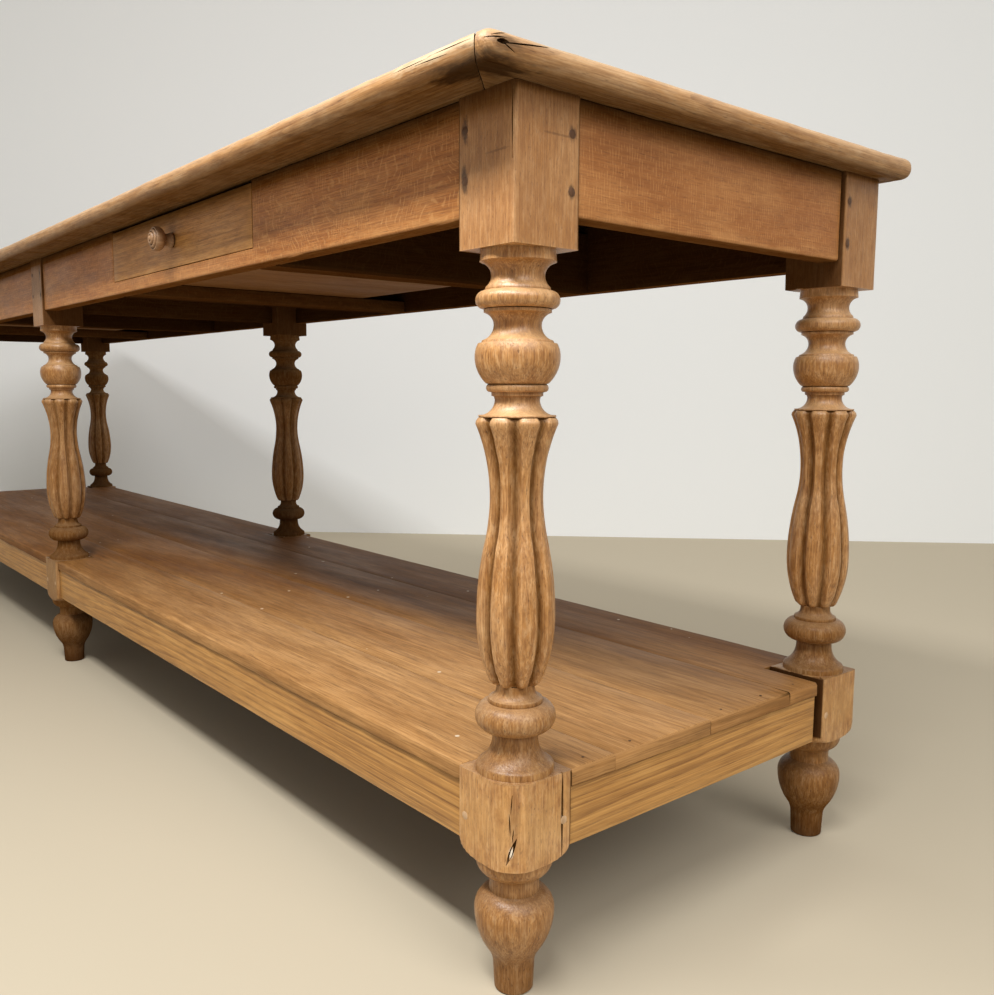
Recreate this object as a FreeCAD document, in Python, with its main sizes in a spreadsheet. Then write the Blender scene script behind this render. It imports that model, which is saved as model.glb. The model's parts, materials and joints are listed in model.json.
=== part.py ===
import FreeCAD, Part
import math
import operator
import os
import Sketcher

# A long oak drapers table: six turned and fluted legs in three pairs, a mitred top,
# rails pegged into the leg blocks, a drawer in each bay and a low shelf along the floor.
# Millimetres, +Z up, origin on the floor below the middle of the top.
# Front is -Y, right is +X.

SIZES = {
    # Plan and height of the frame
    "bay_length": 1380,
    "leg_pitch_depth": 490,
    "underside_height": 800,
    "shelf_height": 212.5,
    # Top
    "top_thickness": 23,
    "top_nose_radius": 11,
    "top_corner_radius": 11,
    "overhang_end": 28,
    "overhang_front": 52,
    "overhang_back": 28,
    "border_width": 110,
    "cleat_width": 124,
    "seam_gap": 0.3,
    "tongue_length": 18,
    "tongue_thickness": 8,
    # Square blocks of the legs
    "block_side": 74,
    "upper_block_height": 126,
    "lower_block_height": 81.5,
    "shoulder_rise": 14,
    "corner_round_radius": 41,
    "core_radius": 20,
    # Foot, measured up from the floor
    "foot_tip_radius": 17,
    "foot_ankle_radius": 18.8,
    "foot_ankle_height": 22,
    "foot_sweep_radius": 30,
    "foot_bulb_radius": 36.5,
    "foot_bulb_height": 78,
    "foot_neck_radius": 23,
    "foot_neck_height": 95.5,
    # Collar under the lower block, measured down from the block
    "foot_collar_radius": 36,
    "foot_collar_band": 2,
    "foot_collar_drop": 27,
    "foot_collar_root_radius": 24.5,
    # Turning above the lower block, measured up from the shelf
    "disc_radius": 35.5,
    "disc_band": 6,
    "disc_lip_radius": 32,
    "disc_lip_rise": 9.5,
    "disc_cove_radius": 20.5,
    "disc_cove_rise": 23.5,
    "low_bulb_root_radius": 21.5,
    "low_bulb_root_rise": 29,
    "low_bulb_radius": 36.3,
    "low_bulb_rise": 50,
    "low_bulb_top_radius": 25,
    "low_bulb_top_rise": 64.5,
    "low_fillet_rise": 67.5,
    "low_neck_radius": 17.5,
    "low_neck_rise": 76,
    "lobe_root_rise": 80,
    # Fluted baluster, which fills the height between the two turnings;
    # belly and waist stand at a share of its own length
    "lobe_end_radius": 24,
    "lobe_end_rise": 82,
    "belly_radius": 36,
    "belly_share": 0.251,
    "waist_radius": 24,
    "waist_share": 0.723,
    "flare_radius": 36,
    "flare_drop": 146.5,
    "flare_edge_radius": 35,
    "flare_edge_drop": 142,
    "flute_radius": 6,
    "flute_stand_off": 1.5,
    "flute_run_out": 4,
    # Turning below the upper block, measured down from the block
    "flare_root_radius": 24,
    "flare_root_drop": 139.5,
    "low_cove_radius": 19.5,
    "low_cove_drop": 129.5,
    "small_ring_radius": 25.5,
    "small_ring_drop": 120,
    "small_ring_top_drop": 115,
    "bulb_root_radius": 28.5,
    "bulb_root_drop": 110,
    "bulb_radius": 37,
    "bulb_drop": 93,
    "bulb_top_radius": 34,
    "bulb_top_drop": 78,
    "cove_radius": 21,
    "cove_drop": 63,
    "ring_seat_radius": 29,
    "ring_seat_drop": 51,
    "ring_edge_drop": 50,
    "ring_edge_radius": 30,
    "ring_radius": 36.5,
    "ring_drop": 42,
    "ring_top_drop": 34,
    "ring_step_drop": 30.5,
    "neck_cove_radius": 23.5,
    "neck_cove_drop": 21,
    "collar_radius": 33,
    "collar_height": 10,
    # Rails and their joints
    "rail_height": 99,
    "rail_thickness": 24,
    "rail_setback": 3.5,
    "shelf_rail_height": 58,
    "shelf_front_setback": 9.5,
    "shelf_back_setback": 16,
    "shelf_end_setback": 3,
    "tenon_length": 35,
    "tenon_thickness": 10,
    "tenon_shoulder": 7,
    "tenon_haunch": 15,
    "joint_clearance": 0.2,
    "peg_radius": 4,
    "peg_length": 42,
    "peg_edge": 10,
    "peg_clearance": 0.1,
    "long_peg_low": 30,
    "long_peg_high": 71,
    "end_peg_low": 20,
    "end_peg_high": 67,
    "shelf_peg_rise": 29,
    # Drawers
    "drawer_width": 495,
    "drawer_length": 438,
    "drawer_sill": 20,
    "drawer_gap": 1,
    "running_gap": 0.3,
    "drawer_front_thickness": 20,
    "drawer_side_thickness": 12,
    "drawer_side_height": 58,
    "drawer_side_inset": 5,
    "drawer_bottom_thickness": 8,
    "drawer_housing_depth": 9,
    "bearer_thickness": 22,
    "bearer_height": 88,
    "bearer_housing": 6,
    "guide_gap": 7.5,
    "runner_width": 40,
    # Drawer knob, measured out from the drawer front
    "knob_rise": 37,
    "knob_shank_radius": 7,
    "knob_clearance": 0.05,
    "knob_foot_radius": 10,
    "knob_foot_height": 4,
    "knob_neck_radius": 8,
    "knob_neck_height": 11,
    "knob_head_radius": 16.5,
    "knob_head_height": 23,
    "knob_face_radius": 10,
    "knob_face_height": 31,
    "knob_tip_height": 33,
    # Shelf
    "shelf_thickness": 16,
    "shelf_front_inset": 2,
    "shelf_back_inset": 13,
    "shelf_end_overhang": 3,
    "shelf_edge_board_width": 129,
    "shelf_back_slot": 12,
    "nail_radius": 1.6,
    "nail_length": 38,
    "nail_clearance": 0.1,
    # Blocks glued under the top
    "glue_block_side": 22,
    "glue_block_length": 60,
    "glue_block_bay_offset": 420,
    "glue_block_end_offset": 110,
}

FLUTE_COUNT = 8
INNER_TOP_BOARDS = 3
INNER_SHELF_BOARDS = 2
OVERSHOOT = 2

doc = FreeCAD.newDocument("drapers_table")
sheet = doc.addObject("Spreadsheet::Sheet", "sizes")
for line, (alias, value) in enumerate(SIZES.items(), start=1):
    sheet.set(f"A{line}", alias)
    sheet.set(f"B{line}", str(value))
    sheet.setAlias(f"B{line}", alias)
doc.recompute()


class Size:
    """A length with its number and the sheet formula that gives it."""

    def __init__(self, number, formula=None):
        self.number = number
        self.formula = formula or str(number)

    def __add__(self, other):
        return combine(self, "+", other)

    def __radd__(self, other):
        return combine(other, "+", self)

    def __sub__(self, other):
        return combine(self, "-", other)

    def __rsub__(self, other):
        return combine(other, "-", self)

    def __mul__(self, other):
        return combine(self, "*", other)

    def __rmul__(self, other):
        return combine(other, "*", self)

    def __truediv__(self, other):
        return combine(self, "/", other)

    def __neg__(self):
        return combine(0, "-", self)


SIGNS = {"+": operator.add, "-": operator.sub, "*": operator.mul, "/": operator.truediv}


def as_size(length):
    return length if isinstance(length, Size) else Size(length)


def combine(left, sign, right):
    left = as_size(left)
    right = as_size(right)
    number = SIGNS[sign](left.number, right.number)
    return Size(number, f"({left.formula} {sign} {right.formula})")


def lesser(left, right):
    """The smaller of two lengths."""
    return Size(min(left.number, right.number), f"min({left.formula}; {right.formula})")


class Sheet:
    """Reads each named size of the sheet as a Size."""

    def __getattr__(self, name):
        return Size(SIZES[name], f"sizes.{name}")


dim = Sheet()

# Places that many pieces share
half_block = dim.block_side / 2
front_axis = (dim.overhang_front - dim.overhang_back - dim.leg_pitch_depth) / 2
back_axis = front_axis + dim.leg_pitch_depth
ROWS = {"front": front_axis, "back": back_axis}
COLUMNS = {"left": -dim.bay_length, "middle": as_size(0), "right": as_size(0) + dim.bay_length}
BAYS = {"right": ("middle", "right"), "left": ("left", "middle")}
BAY_CENTRES = {"right": dim.bay_length / 2, "left": -dim.bay_length / 2}
OUTWARD = {"front": -1, "back": 1, "left": -1, "right": 1}
ENDS = ("right", "left")

top_surface = dim.underside_height + dim.top_thickness
top_end = dim.bay_length + half_block + dim.overhang_end
top_front = front_axis - half_block - dim.overhang_front
top_back = back_axis + half_block + dim.overhang_back
upper_block_foot = dim.underside_height - dim.upper_block_height
lower_block_foot = dim.shelf_height - dim.lower_block_height
rail_foot = dim.underside_height - dim.rail_height
shelf_underside = dim.shelf_height - dim.shelf_thickness
shelf_rail_foot = shelf_underside - dim.shelf_rail_height
sill_top = rail_foot + dim.drawer_sill
rail_face = {row: axis + OUTWARD[row] * (half_block - dim.rail_setback) for row, axis in ROWS.items()}
rail_inside = {row: face - OUTWARD[row] * dim.rail_thickness for row, face in rail_face.items()}

PARTS = {}
leg_cuts = {(row, column): [] for row in ROWS for column in COLUMNS}
rail_cuts = {}
peg_groups = {"upper_rail_pegs": [], "shelf_rail_pegs": []}


def bind(item, prop, length):
    item.setExpression(prop, as_size(length).formula)


def place(item, x, y, z):
    for axis, length in zip("xyz", (x, y, z)):
        bind(item, f"Placement.Base.{axis}", length)
    return item


def keep(node, item):
    """Make an object one of the table's named pieces."""
    item.Label = node
    PARTS[node] = item
    return item


def box(name, x, y, z):
    """A box from three (start, end) spans."""
    solid = doc.addObject("Part::Box", name)
    for side, (start, end) in zip(("Length", "Width", "Height"), (x, y, z)):
        bind(solid, side, end - start)
    return place(solid, x[0], y[0], z[0])


TURNS = {
    "+x": FreeCAD.Rotation(FreeCAD.Vector(0, 1, 0), 90),
    "-x": FreeCAD.Rotation(FreeCAD.Vector(0, 1, 0), -90),
    "+y": FreeCAD.Rotation(FreeCAD.Vector(1, 0, 0), -90),
    "-y": FreeCAD.Rotation(FreeCAD.Vector(1, 0, 0), 90),
    "+z": FreeCAD.Rotation(),
    "-z": FreeCAD.Rotation(FreeCAD.Vector(1, 0, 0), 180),
}


def rod(name, start, direction, length, radius):
    """A round rod from its start point along a signed axis."""
    solid = doc.addObject("Part::Cylinder", name)
    bind(solid, "Radius", radius)
    bind(solid, "Height", length)
    solid.Placement.Rotation = TURNS[direction]
    return place(solid, *start)


def fuse(name, pieces):
    if len(pieces) == 1:
        return pieces[0]
    joined = doc.addObject("Part::MultiFuse", name)
    joined.Shapes = pieces
    return joined


def cut(name, base, tools):
    result = doc.addObject("Part::Cut", name)
    result.Base = base
    result.Tool = fuse(f"{name}_cutter", tools)
    return result


def common(name, base, tool):
    result = doc.addObject("Part::Common", name)
    result.Base = base
    result.Tool = tool
    return result


def copy_at(name, source, x, y):
    """The same shape again at another place on the floor."""
    copy = doc.addObject("Part::Compound", name)
    copy.Links = [source]
    return place(copy, x, y, 0)


def group(node, pieces):
    bundle = doc.addObject("Part::Compound", f"{node}_group")
    bundle.Links = pieces
    return keep(node, bundle)


def origin_plane(body, role):
    return next(plane for plane in body.Origin.OriginFeatures if plane.Role == role)


def new_sketch(body, name, role):
    sketch = body.newObject("Sketcher::SketchObject", name)
    sketch.AttachmentSupport = [(origin_plane(body, role), "")]
    sketch.MapMode = "FlatFace"
    return sketch


class Outline:
    """Draws a chain of lines and arcs in a sketch, each corner held by sheet formulas."""

    def __init__(self, sketch, start):
        self.sketch = sketch
        self.rules = []
        self.bound = []
        self.pieces = []
        self.here = start
        self.first = start

    def rule(self, *terms):
        self.rules.append(Sketcher.Constraint(*terms))

    def hold(self, kind, terms, length):
        """A driving distance or radius; the origin is the fixed end of a distance."""
        self.bound.append((len(self.rules), f"{kind}_{len(self.rules)}", length))
        self.rule(kind, *terms, length.number)

    def corner(self, edge, end, point):
        """Hold one end of an edge at a point."""
        across, up = point
        if across.number == 0:
            self.rule("PointOnObject", edge, end, -2)
        else:
            self.hold("DistanceX", (-1, 1, edge, end), across)
        if up.number == 0:
            self.rule("PointOnObject", edge, end, -1)
        else:
            self.hold("DistanceY", (-1, 1, edge, end), up)

    def join(self, edge, start, end, smooth=False):
        """Tie the start of a new edge to the end of the last one."""
        if self.pieces:
            last, _, last_end = self.pieces[-1]
            self.rule("Tangent" if smooth else "Coincident", last, last_end, edge, start)
        else:
            self.corner(edge, start, self.first)
        self.pieces.append((edge, start, end))

    def line(self, across, up):
        edge = self.sketch.addGeometry(Part.LineSegment(vector(self.here), vector((across, up))))
        self.join(edge, 1, 2)
        self.corner(edge, 2, (across, up))
        self.here = (across, up)

    def arc_edge(self, start, end, centre, smooth=False):
        """An arc under half a circle; returns its edge and the ends where it starts and stops."""
        from_centre = start - centre
        to_centre = end - centre
        circle = Part.Circle(centre, FreeCAD.Vector(0, 0, 1), from_centre.Length)
        angles = [math.atan2(arm.y, arm.x) for arm in (from_centre, to_centre)]
        forward = from_centre.cross(to_centre).z > 0
        if not forward:
            angles.reverse()
        edge = self.sketch.addGeometry(Part.ArcOfCircle(circle, *angles))
        ends = (1, 2) if forward else (2, 1)
        self.join(edge, *ends, smooth=smooth)
        return edge, ends

    def arc(self, across, up, upright):
        """An arc whose tangent is upright at its start or at its end."""
        start = vector(self.here)
        end = vector((across, up))
        still, other = (start, end) if upright == "start" else (end, start)
        run = other.x - still.x
        radius = (run ** 2 + (other.y - still.y) ** 2) / (2 * abs(run))
        centre = FreeCAD.Vector(still.x + math.copysign(radius, run), still.y, 0)
        edge, ends = self.arc_edge(start, end, centre)
        self.corner(edge, ends[1], (across, up))
        self.rule("Horizontal", edge, 3, edge, ends[0 if upright == "start" else 1])
        self.here = (across, up)

    def ogee(self, across, up, hollow_radius):
        """A full arc and a hollow arc in one sweep, upright at both ends."""
        start = vector(self.here)
        end = vector((across, up))
        run = end - start
        both = (run.x ** 2 + run.y ** 2) / (2 * abs(run.x))
        hollow_first = run.x > 0
        first_radius = hollow_radius.number if hollow_first else both - hollow_radius.number
        turn = start + run * (first_radius / both)
        side = math.copysign(1, run.x)
        first_centre = FreeCAD.Vector(start.x + side * first_radius, start.y, 0)
        second_centre = FreeCAD.Vector(end.x - side * (both - first_radius), end.y, 0)
        first, first_ends = self.arc_edge(start, turn, first_centre)
        second, second_ends = self.arc_edge(turn, end, second_centre, smooth=True)
        self.rule("Horizontal", first, 3, first, first_ends[0])
        self.rule("Horizontal", second, 3, second, second_ends[1])
        self.hold("Radius", (first if hollow_first else second,), hollow_radius)
        self.corner(second, second_ends[1], (across, up))
        self.here = (across, up)

    def finish(self, closed=True):
        if closed:
            edge = self.sketch.addGeometry(Part.LineSegment(vector(self.here), vector(self.first)))
            self.join(edge, 1, 2)
            self.rule("Coincident", edge, 2, self.pieces[0][0], self.pieces[0][1])
        self.sketch.addConstraint(self.rules)
        for index, name, length in self.bound:
            self.sketch.renameConstraint(index, name)
            bind(self.sketch, f"Constraints.{name}", length)


def vector(point):
    return FreeCAD.Vector(point[0].number, point[1].number, 0)


def turned(name, start, draw):
    """A body turned about Z from the outline that draw() adds."""
    body = doc.addObject("PartDesign::Body", name)
    sketch = new_sketch(body, f"{name}_outline", "XZ_Plane")
    outline = Outline(sketch, start)
    draw(outline)
    outline.finish()
    revolution = body.newObject("PartDesign::Revolution", f"{name}_turning")
    revolution.Profile = sketch
    revolution.ReferenceAxis = (sketch, ["V_Axis"])
    revolution.Angle = 360
    return body


def up_shelf(rise):
    return dim.shelf_height + rise


def down_block(drop):
    return upper_block_foot - drop


def up_baluster(share):
    """Height at a share of the baluster's length."""
    foot = up_shelf(dim.lobe_end_rise)
    return foot + share * (down_block(dim.flare_drop) - foot)


def hollow_of_waist():
    """Radius of the arc that rises from the waist to the flare."""
    run = dim.flare_radius - dim.waist_radius
    rise = down_block(dim.flare_drop) - up_baluster(dim.waist_share)
    return (run * run + rise * rise) / (2 * run)


def draw_foot(outline):
    outline.line(dim.foot_tip_radius, as_size(0))
    outline.line(dim.foot_ankle_radius, dim.foot_ankle_height)
    outline.ogee(dim.foot_bulb_radius, dim.foot_bulb_height, dim.foot_sweep_radius)
    outline.arc(dim.foot_neck_radius, dim.foot_neck_height, "start")
    outline.line(dim.foot_collar_root_radius, lower_block_foot - dim.foot_collar_drop)
    outline.arc(dim.foot_collar_radius, lower_block_foot - dim.foot_collar_band, "end")
    outline.line(dim.foot_collar_radius, lower_block_foot)
    outline.line(dim.core_radius, lower_block_foot)


def draw_low_turning(outline):
    outline.line(dim.core_radius, dim.shelf_height)
    outline.line(dim.disc_radius, dim.shelf_height)
    outline.line(dim.disc_radius, up_shelf(dim.disc_band))
    outline.arc(dim.disc_lip_radius, up_shelf(dim.disc_lip_rise), "start")
    outline.arc(dim.disc_cove_radius, up_shelf(dim.disc_cove_rise), "end")
    outline.line(dim.low_bulb_root_radius, up_shelf(dim.low_bulb_root_rise))
    outline.arc(dim.low_bulb_radius, up_shelf(dim.low_bulb_rise), "end")
    outline.arc(dim.low_bulb_top_radius, up_shelf(dim.low_bulb_top_rise), "start")
    outline.line(dim.low_bulb_top_radius, up_shelf(dim.low_fillet_rise))
    outline.arc(dim.low_neck_radius, up_shelf(dim.low_neck_rise), "end")
    outline.line(dim.low_neck_radius, up_shelf(dim.lobe_root_rise))


def draw_baluster(outline):
    outline.line(dim.lobe_end_radius, up_shelf(dim.lobe_end_rise))
    outline.arc(dim.belly_radius, up_baluster(dim.belly_share), "end")
    outline.ogee(dim.waist_radius, up_baluster(dim.waist_share), hollow_of_waist())
    outline.arc(dim.flare_radius, down_block(dim.flare_drop), "start")


def draw_high_turning(outline):
    outline.line(dim.flare_edge_radius, down_block(dim.flare_edge_drop))
    outline.line(dim.flare_root_radius, down_block(dim.flare_root_drop))
    outline.arc(dim.low_cove_radius, down_block(dim.low_cove_drop), "end")
    outline.arc(dim.small_ring_radius, down_block(dim.small_ring_drop), "start")
    outline.line(dim.small_ring_radius, down_block(dim.small_ring_top_drop))
    outline.line(dim.bulb_root_radius, down_block(dim.bulb_root_drop))
    outline.arc(dim.bulb_radius, down_block(dim.bulb_drop), "end")
    outline.arc(dim.bulb_top_radius, down_block(dim.bulb_top_drop), "start")
    outline.arc(dim.cove_radius, down_block(dim.cove_drop), "end")
    outline.arc(dim.ring_seat_radius, down_block(dim.ring_seat_drop), "start")
    outline.line(dim.ring_edge_radius, down_block(dim.ring_edge_drop))
    outline.arc(dim.ring_radius, down_block(dim.ring_drop), "end")
    outline.arc(dim.ring_edge_radius, down_block(dim.ring_top_drop), "start")
    outline.line(dim.ring_seat_radius, down_block(dim.ring_step_drop))
    outline.arc(dim.neck_cove_radius, down_block(dim.neck_cove_drop), "end")
    outline.arc(dim.collar_radius, down_block(dim.collar_height), "start")
    outline.line(dim.collar_radius, upper_block_foot)
    outline.line(as_size(0), upper_block_foot)


def draw_leg(outline):
    draw_foot(outline)
    draw_low_turning(outline)
    draw_baluster(outline)
    draw_high_turning(outline)


def draw_shoulder(outline):
    """The lower block's turned shoulders: its corners run into the collar below."""
    corner = dim.block_side
    outline.line(dim.foot_collar_radius, lower_block_foot)
    outline.line(dim.foot_collar_radius + dim.shoulder_rise, lower_block_foot + dim.shoulder_rise)
    outline.line(corner, lower_block_foot + dim.shoulder_rise)
    outline.line(corner, dim.shelf_height)
    outline.line(as_size(0), dim.shelf_height)


def flute_path(sketch):
    """The middle of one flute, a little outside the baluster's face."""
    off = dim.flute_stand_off
    start = (dim.lobe_end_radius + off, up_shelf(dim.lobe_end_rise) - dim.flute_run_out)
    outline = Outline(sketch, start)
    outline.arc(dim.belly_radius + off, up_baluster(dim.belly_share), "end")
    outline.ogee(dim.waist_radius + off, up_baluster(dim.waist_share), hollow_of_waist() - off)
    outline.arc(dim.flare_radius + off, down_block(dim.flare_drop) + dim.flute_run_out, "start")
    outline.finish(closed=False)
    return start


def flutes(body):
    """Cut one flute along the baluster and repeat it round the axis."""
    path = new_sketch(body, "flute_path", "XZ_Plane")
    start = flute_path(path)
    section = new_sketch(body, "flute_section", "XY_Plane")
    bind(section, "AttachmentOffset.Base.z", start[1])
    edge = section.addGeometry(Part.Circle(vector((start[0], as_size(0))), FreeCAD.Vector(0, 0, 1), 1))
    outline = Outline(section, start)
    outline.hold("Radius", (edge,), dim.flute_radius)
    outline.hold("DistanceX", (-1, 1, edge, 3), start[0])
    outline.rule("PointOnObject", edge, 3, -1)
    section.addConstraint(outline.rules)
    for index, name, length in outline.bound:
        section.renameConstraint(index, name)
        bind(section, f"Constraints.{name}", length)
    doc.recompute()
    groove = body.newObject("PartDesign::SubtractivePipe", "flute")
    groove.Profile = section
    groove.Spine = path
    doc.recompute()
    ring = body.newObject("PartDesign::PolarPattern", "flute_ring")
    ring.Originals = [groove]
    ring.Axis = (section, ["N_Axis"])
    ring.Angle = 360
    ring.Occurrences = FLUTE_COUNT
    body.Tip = ring


def leg_blank():
    """One leg on the Z axis: foot, lower block, turning and upper block in one piece."""
    turning = turned("leg_turning", (as_size(0), as_size(0)), draw_leg)
    doc.recompute()
    flutes(turning)
    square = (-half_block, half_block)
    upper = box("leg_upper_block", square, square, (upper_block_foot, dim.underside_height))
    lower_box = box("leg_lower_box", square, square, (lower_block_foot, dim.shelf_height))
    shoulder = turned("leg_shoulder", (as_size(0), lower_block_foot), draw_shoulder)
    lower = common("leg_lower_block", lower_box, shoulder)
    return fuse("leg_blank", [turning, upper, lower])


def corner_rounding(row, column):
    """Takes the outer corner off the lower block of a front corner leg."""
    out_x = OUTWARD[column]
    out_y = OUTWARD[row]
    reach = half_block + OVERSHOOT
    spans = []
    for axis, side in ((COLUMNS[column], out_x), (ROWS[row], out_y)):
        spans.append((axis, axis + reach) if side > 0 else (axis - reach, axis))
    name = f"rounding_{row}_{column}"
    height = (lower_block_foot - OVERSHOOT, dim.shelf_height)
    quarter = box(f"{name}_box", *spans, height)
    start = (COLUMNS[column], ROWS[row], height[0] - OVERSHOOT)
    turned_corner = rod(
        f"{name}_rod", start, "+z", dim.lower_block_height + 3 * OVERSHOOT, dim.corner_round_radius
    )
    return cut(name, quarter, [turned_corner])


def oriented(run, along, across, up):
    """Spans in x, y, z order for a piece that runs along x or y."""
    return (along, across, up) if run == "x" else (across, along, up)


def grown(span, by):
    return (span[0] - by, span[1] + by)


def rail(node, run, level, middle, along, legs, shoulder_gap=0):
    """A rail between two legs with a tenon at each end; its mortises go into the legs.

    along holds the faces of the two leg blocks that the rail runs between.
    """
    foot, head, haunch = level
    thick = grown((middle, middle), dim.rail_thickness / 2)
    body = box(f"{node}_body", *oriented(run, (along[0], along[1] - shoulder_gap), thick, (foot, head)))
    reach = grown(along, dim.tenon_length)
    tenon = grown((middle, middle), dim.tenon_thickness / 2)
    up = (foot + dim.tenon_shoulder, head - haunch)
    core = box(f"{node}_tenon", *oriented(run, reach, tenon, up))
    slack = dim.joint_clearance
    sockets = ((reach[0] - slack, along[0] + OVERSHOOT), (along[1] - OVERSHOOT, reach[1] + slack))
    for leg, socket in zip(legs, sockets):
        spans = oriented(run, socket, grown(tenon, slack), grown(up, slack))
        leg_cuts[leg].append(box(f"{node}_mortise_{leg[0]}_{leg[1]}", *spans))
    rail_cuts[node] = []
    return fuse(f"{node}_stock", [body, core])


def pegs(node, group_name, run, out, face, along, legs, heights):
    """Pegs driven through the leg blocks and tenons from the outer face."""
    direction = ("-" if out > 0 else "+") + ("y" if run == "x" else "x")
    for leg, at, inward in zip(legs, along, (-1, 1)):
        place_along = at + inward * dim.peg_edge
        for number, height in enumerate(heights):
            name = f"{node}_peg_{leg[0]}_{leg[1]}_{number}"
            start = (place_along, face, height) if run == "x" else (face, place_along, height)
            peg_groups[group_name].append(rod(name, start, direction, dim.peg_length, dim.peg_radius))
            outside = face + out * OVERSHOOT
            hole_start = (place_along, outside, height) if run == "x" else (outside, place_along, height)
            depth = dim.peg_length + OVERSHOOT + dim.peg_clearance
            hole = rod(f"{name}_hole", hole_start, direction, depth, dim.peg_radius + dim.peg_clearance)
            leg_cuts[leg].append(hole)
            rail_cuts[node].append(hole)


UPPER_LEVEL = (rail_foot, dim.underside_height, dim.tenon_haunch)
SHELF_LEVEL = (shelf_rail_foot, shelf_underside, dim.tenon_shoulder)
LONG_PEGS = (rail_foot + dim.long_peg_low, rail_foot + dim.long_peg_high)
END_PEGS = (rail_foot + dim.end_peg_low, rail_foot + dim.end_peg_high)
SHELF_PEGS = (shelf_rail_foot + dim.shelf_peg_rise,)


def long_rails(prefix, level, setbacks, group_name, heights):
    """The front and back rails of both bays; returns their stocks by node."""
    stocks = {}
    for row, axis in ROWS.items():
        face = axis + OUTWARD[row] * half_block
        middle = face - OUTWARD[row] * (setbacks[row] + dim.rail_thickness / 2)
        for bay, (start, end) in BAYS.items():
            node = f"{prefix}{row}_rail_{bay}"
            along = (COLUMNS[start] + half_block, COLUMNS[end] - half_block)
            legs = ((row, start), (row, end))
            stocks[node] = rail(node, "x", level, middle, along, legs)
            pegs(node, group_name, "x", OUTWARD[row], face, along, legs, heights)
    return stocks


def cross_rails(prefix, level, setback, group_name, heights, shoulder_gap=0):
    """The end rails and the rail between the middle legs; returns their stocks by node."""
    along = (front_axis + half_block, back_axis - half_block)
    stocks = {}
    for end in ENDS:
        node = f"{prefix}end_rail_{end}"
        face = COLUMNS[end] + OUTWARD[end] * half_block
        middle = face - OUTWARD[end] * (setback + dim.rail_thickness / 2)
        legs = (("front", end), ("back", end))
        stocks[node] = rail(node, "y", level, middle, along, legs, shoulder_gap)
        pegs(node, group_name, "y", OUTWARD[end], face, along, legs, heights)
    node = f"{prefix}middle_rail"
    legs = (("front", "middle"), ("back", "middle"))
    stocks[node] = rail(node, "y", level, COLUMNS["middle"], along, legs)
    return stocks


def drawer_notch(bay):
    """The opening for a drawer in the top edge of a front rail."""
    centre = BAY_CENTRES[bay]
    across = grown((centre, centre), dim.drawer_width / 2 + dim.drawer_gap)
    through = grown((rail_face["front"], rail_inside["front"]), OVERSHOOT)
    notch = box(f"drawer_notch_{bay}", across, through, (sill_top, dim.underside_height + OVERSHOOT))
    rail_cuts[f"front_rail_{bay}"].append(notch)


def bearers(bay):
    """Two boards across the bay beside the drawer, each with a runner on its inner face."""
    bearer_top = rail_foot + dim.bearer_height
    inside = (rail_inside["front"], rail_inside["back"])
    for side, sign in (("right", 1), ("left", -1)):
        inner = BAY_CENTRES[bay] + sign * (dim.drawer_width / 2 + dim.guide_gap)
        outer = inner + sign * dim.bearer_thickness
        across = (inner, outer) if sign > 0 else (outer, inner)
        along = grown(inside, dim.bearer_housing)
        name = f"drawer_bearer_{bay}_bay_{side}"
        keep(name, box(name, across, along, (rail_foot, bearer_top)))
        slack = dim.joint_clearance
        for row, end in (("front", 0), ("back", 1)):
            depth = sorted((inside[end] - OUTWARD[row] * OVERSHOOT,
                            along[end] + OUTWARD[row] * slack), key=lambda length: length.number)
            housing = box(f"{name}_housing_{row}", grown(across, slack), depth,
                          (rail_foot - OVERSHOOT, bearer_top + slack))
            rail_cuts[f"{row}_rail_{bay}"].append(housing)
        tip = inner - sign * dim.runner_width
        runner_across = (tip, inner) if sign > 0 else (inner, tip)
        runner = f"drawer_runner_{bay}_bay_{side}"
        keep(runner, box(runner, runner_across, inside, (rail_foot, sill_top)))


def draw_knob(outline):
    shank = dim.drawer_front_thickness
    outline.line(dim.knob_shank_radius, -shank)
    outline.line(dim.knob_shank_radius, as_size(0))
    outline.line(dim.knob_foot_radius, as_size(0))
    outline.line(dim.knob_foot_radius, dim.knob_foot_height)
    outline.arc(dim.knob_neck_radius, dim.knob_neck_height, "end")
    outline.arc(dim.knob_head_radius, dim.knob_head_height, "end")
    outline.arc(dim.knob_face_radius, dim.knob_face_height, "start")
    outline.line(as_size(0), dim.knob_tip_height)


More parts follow.
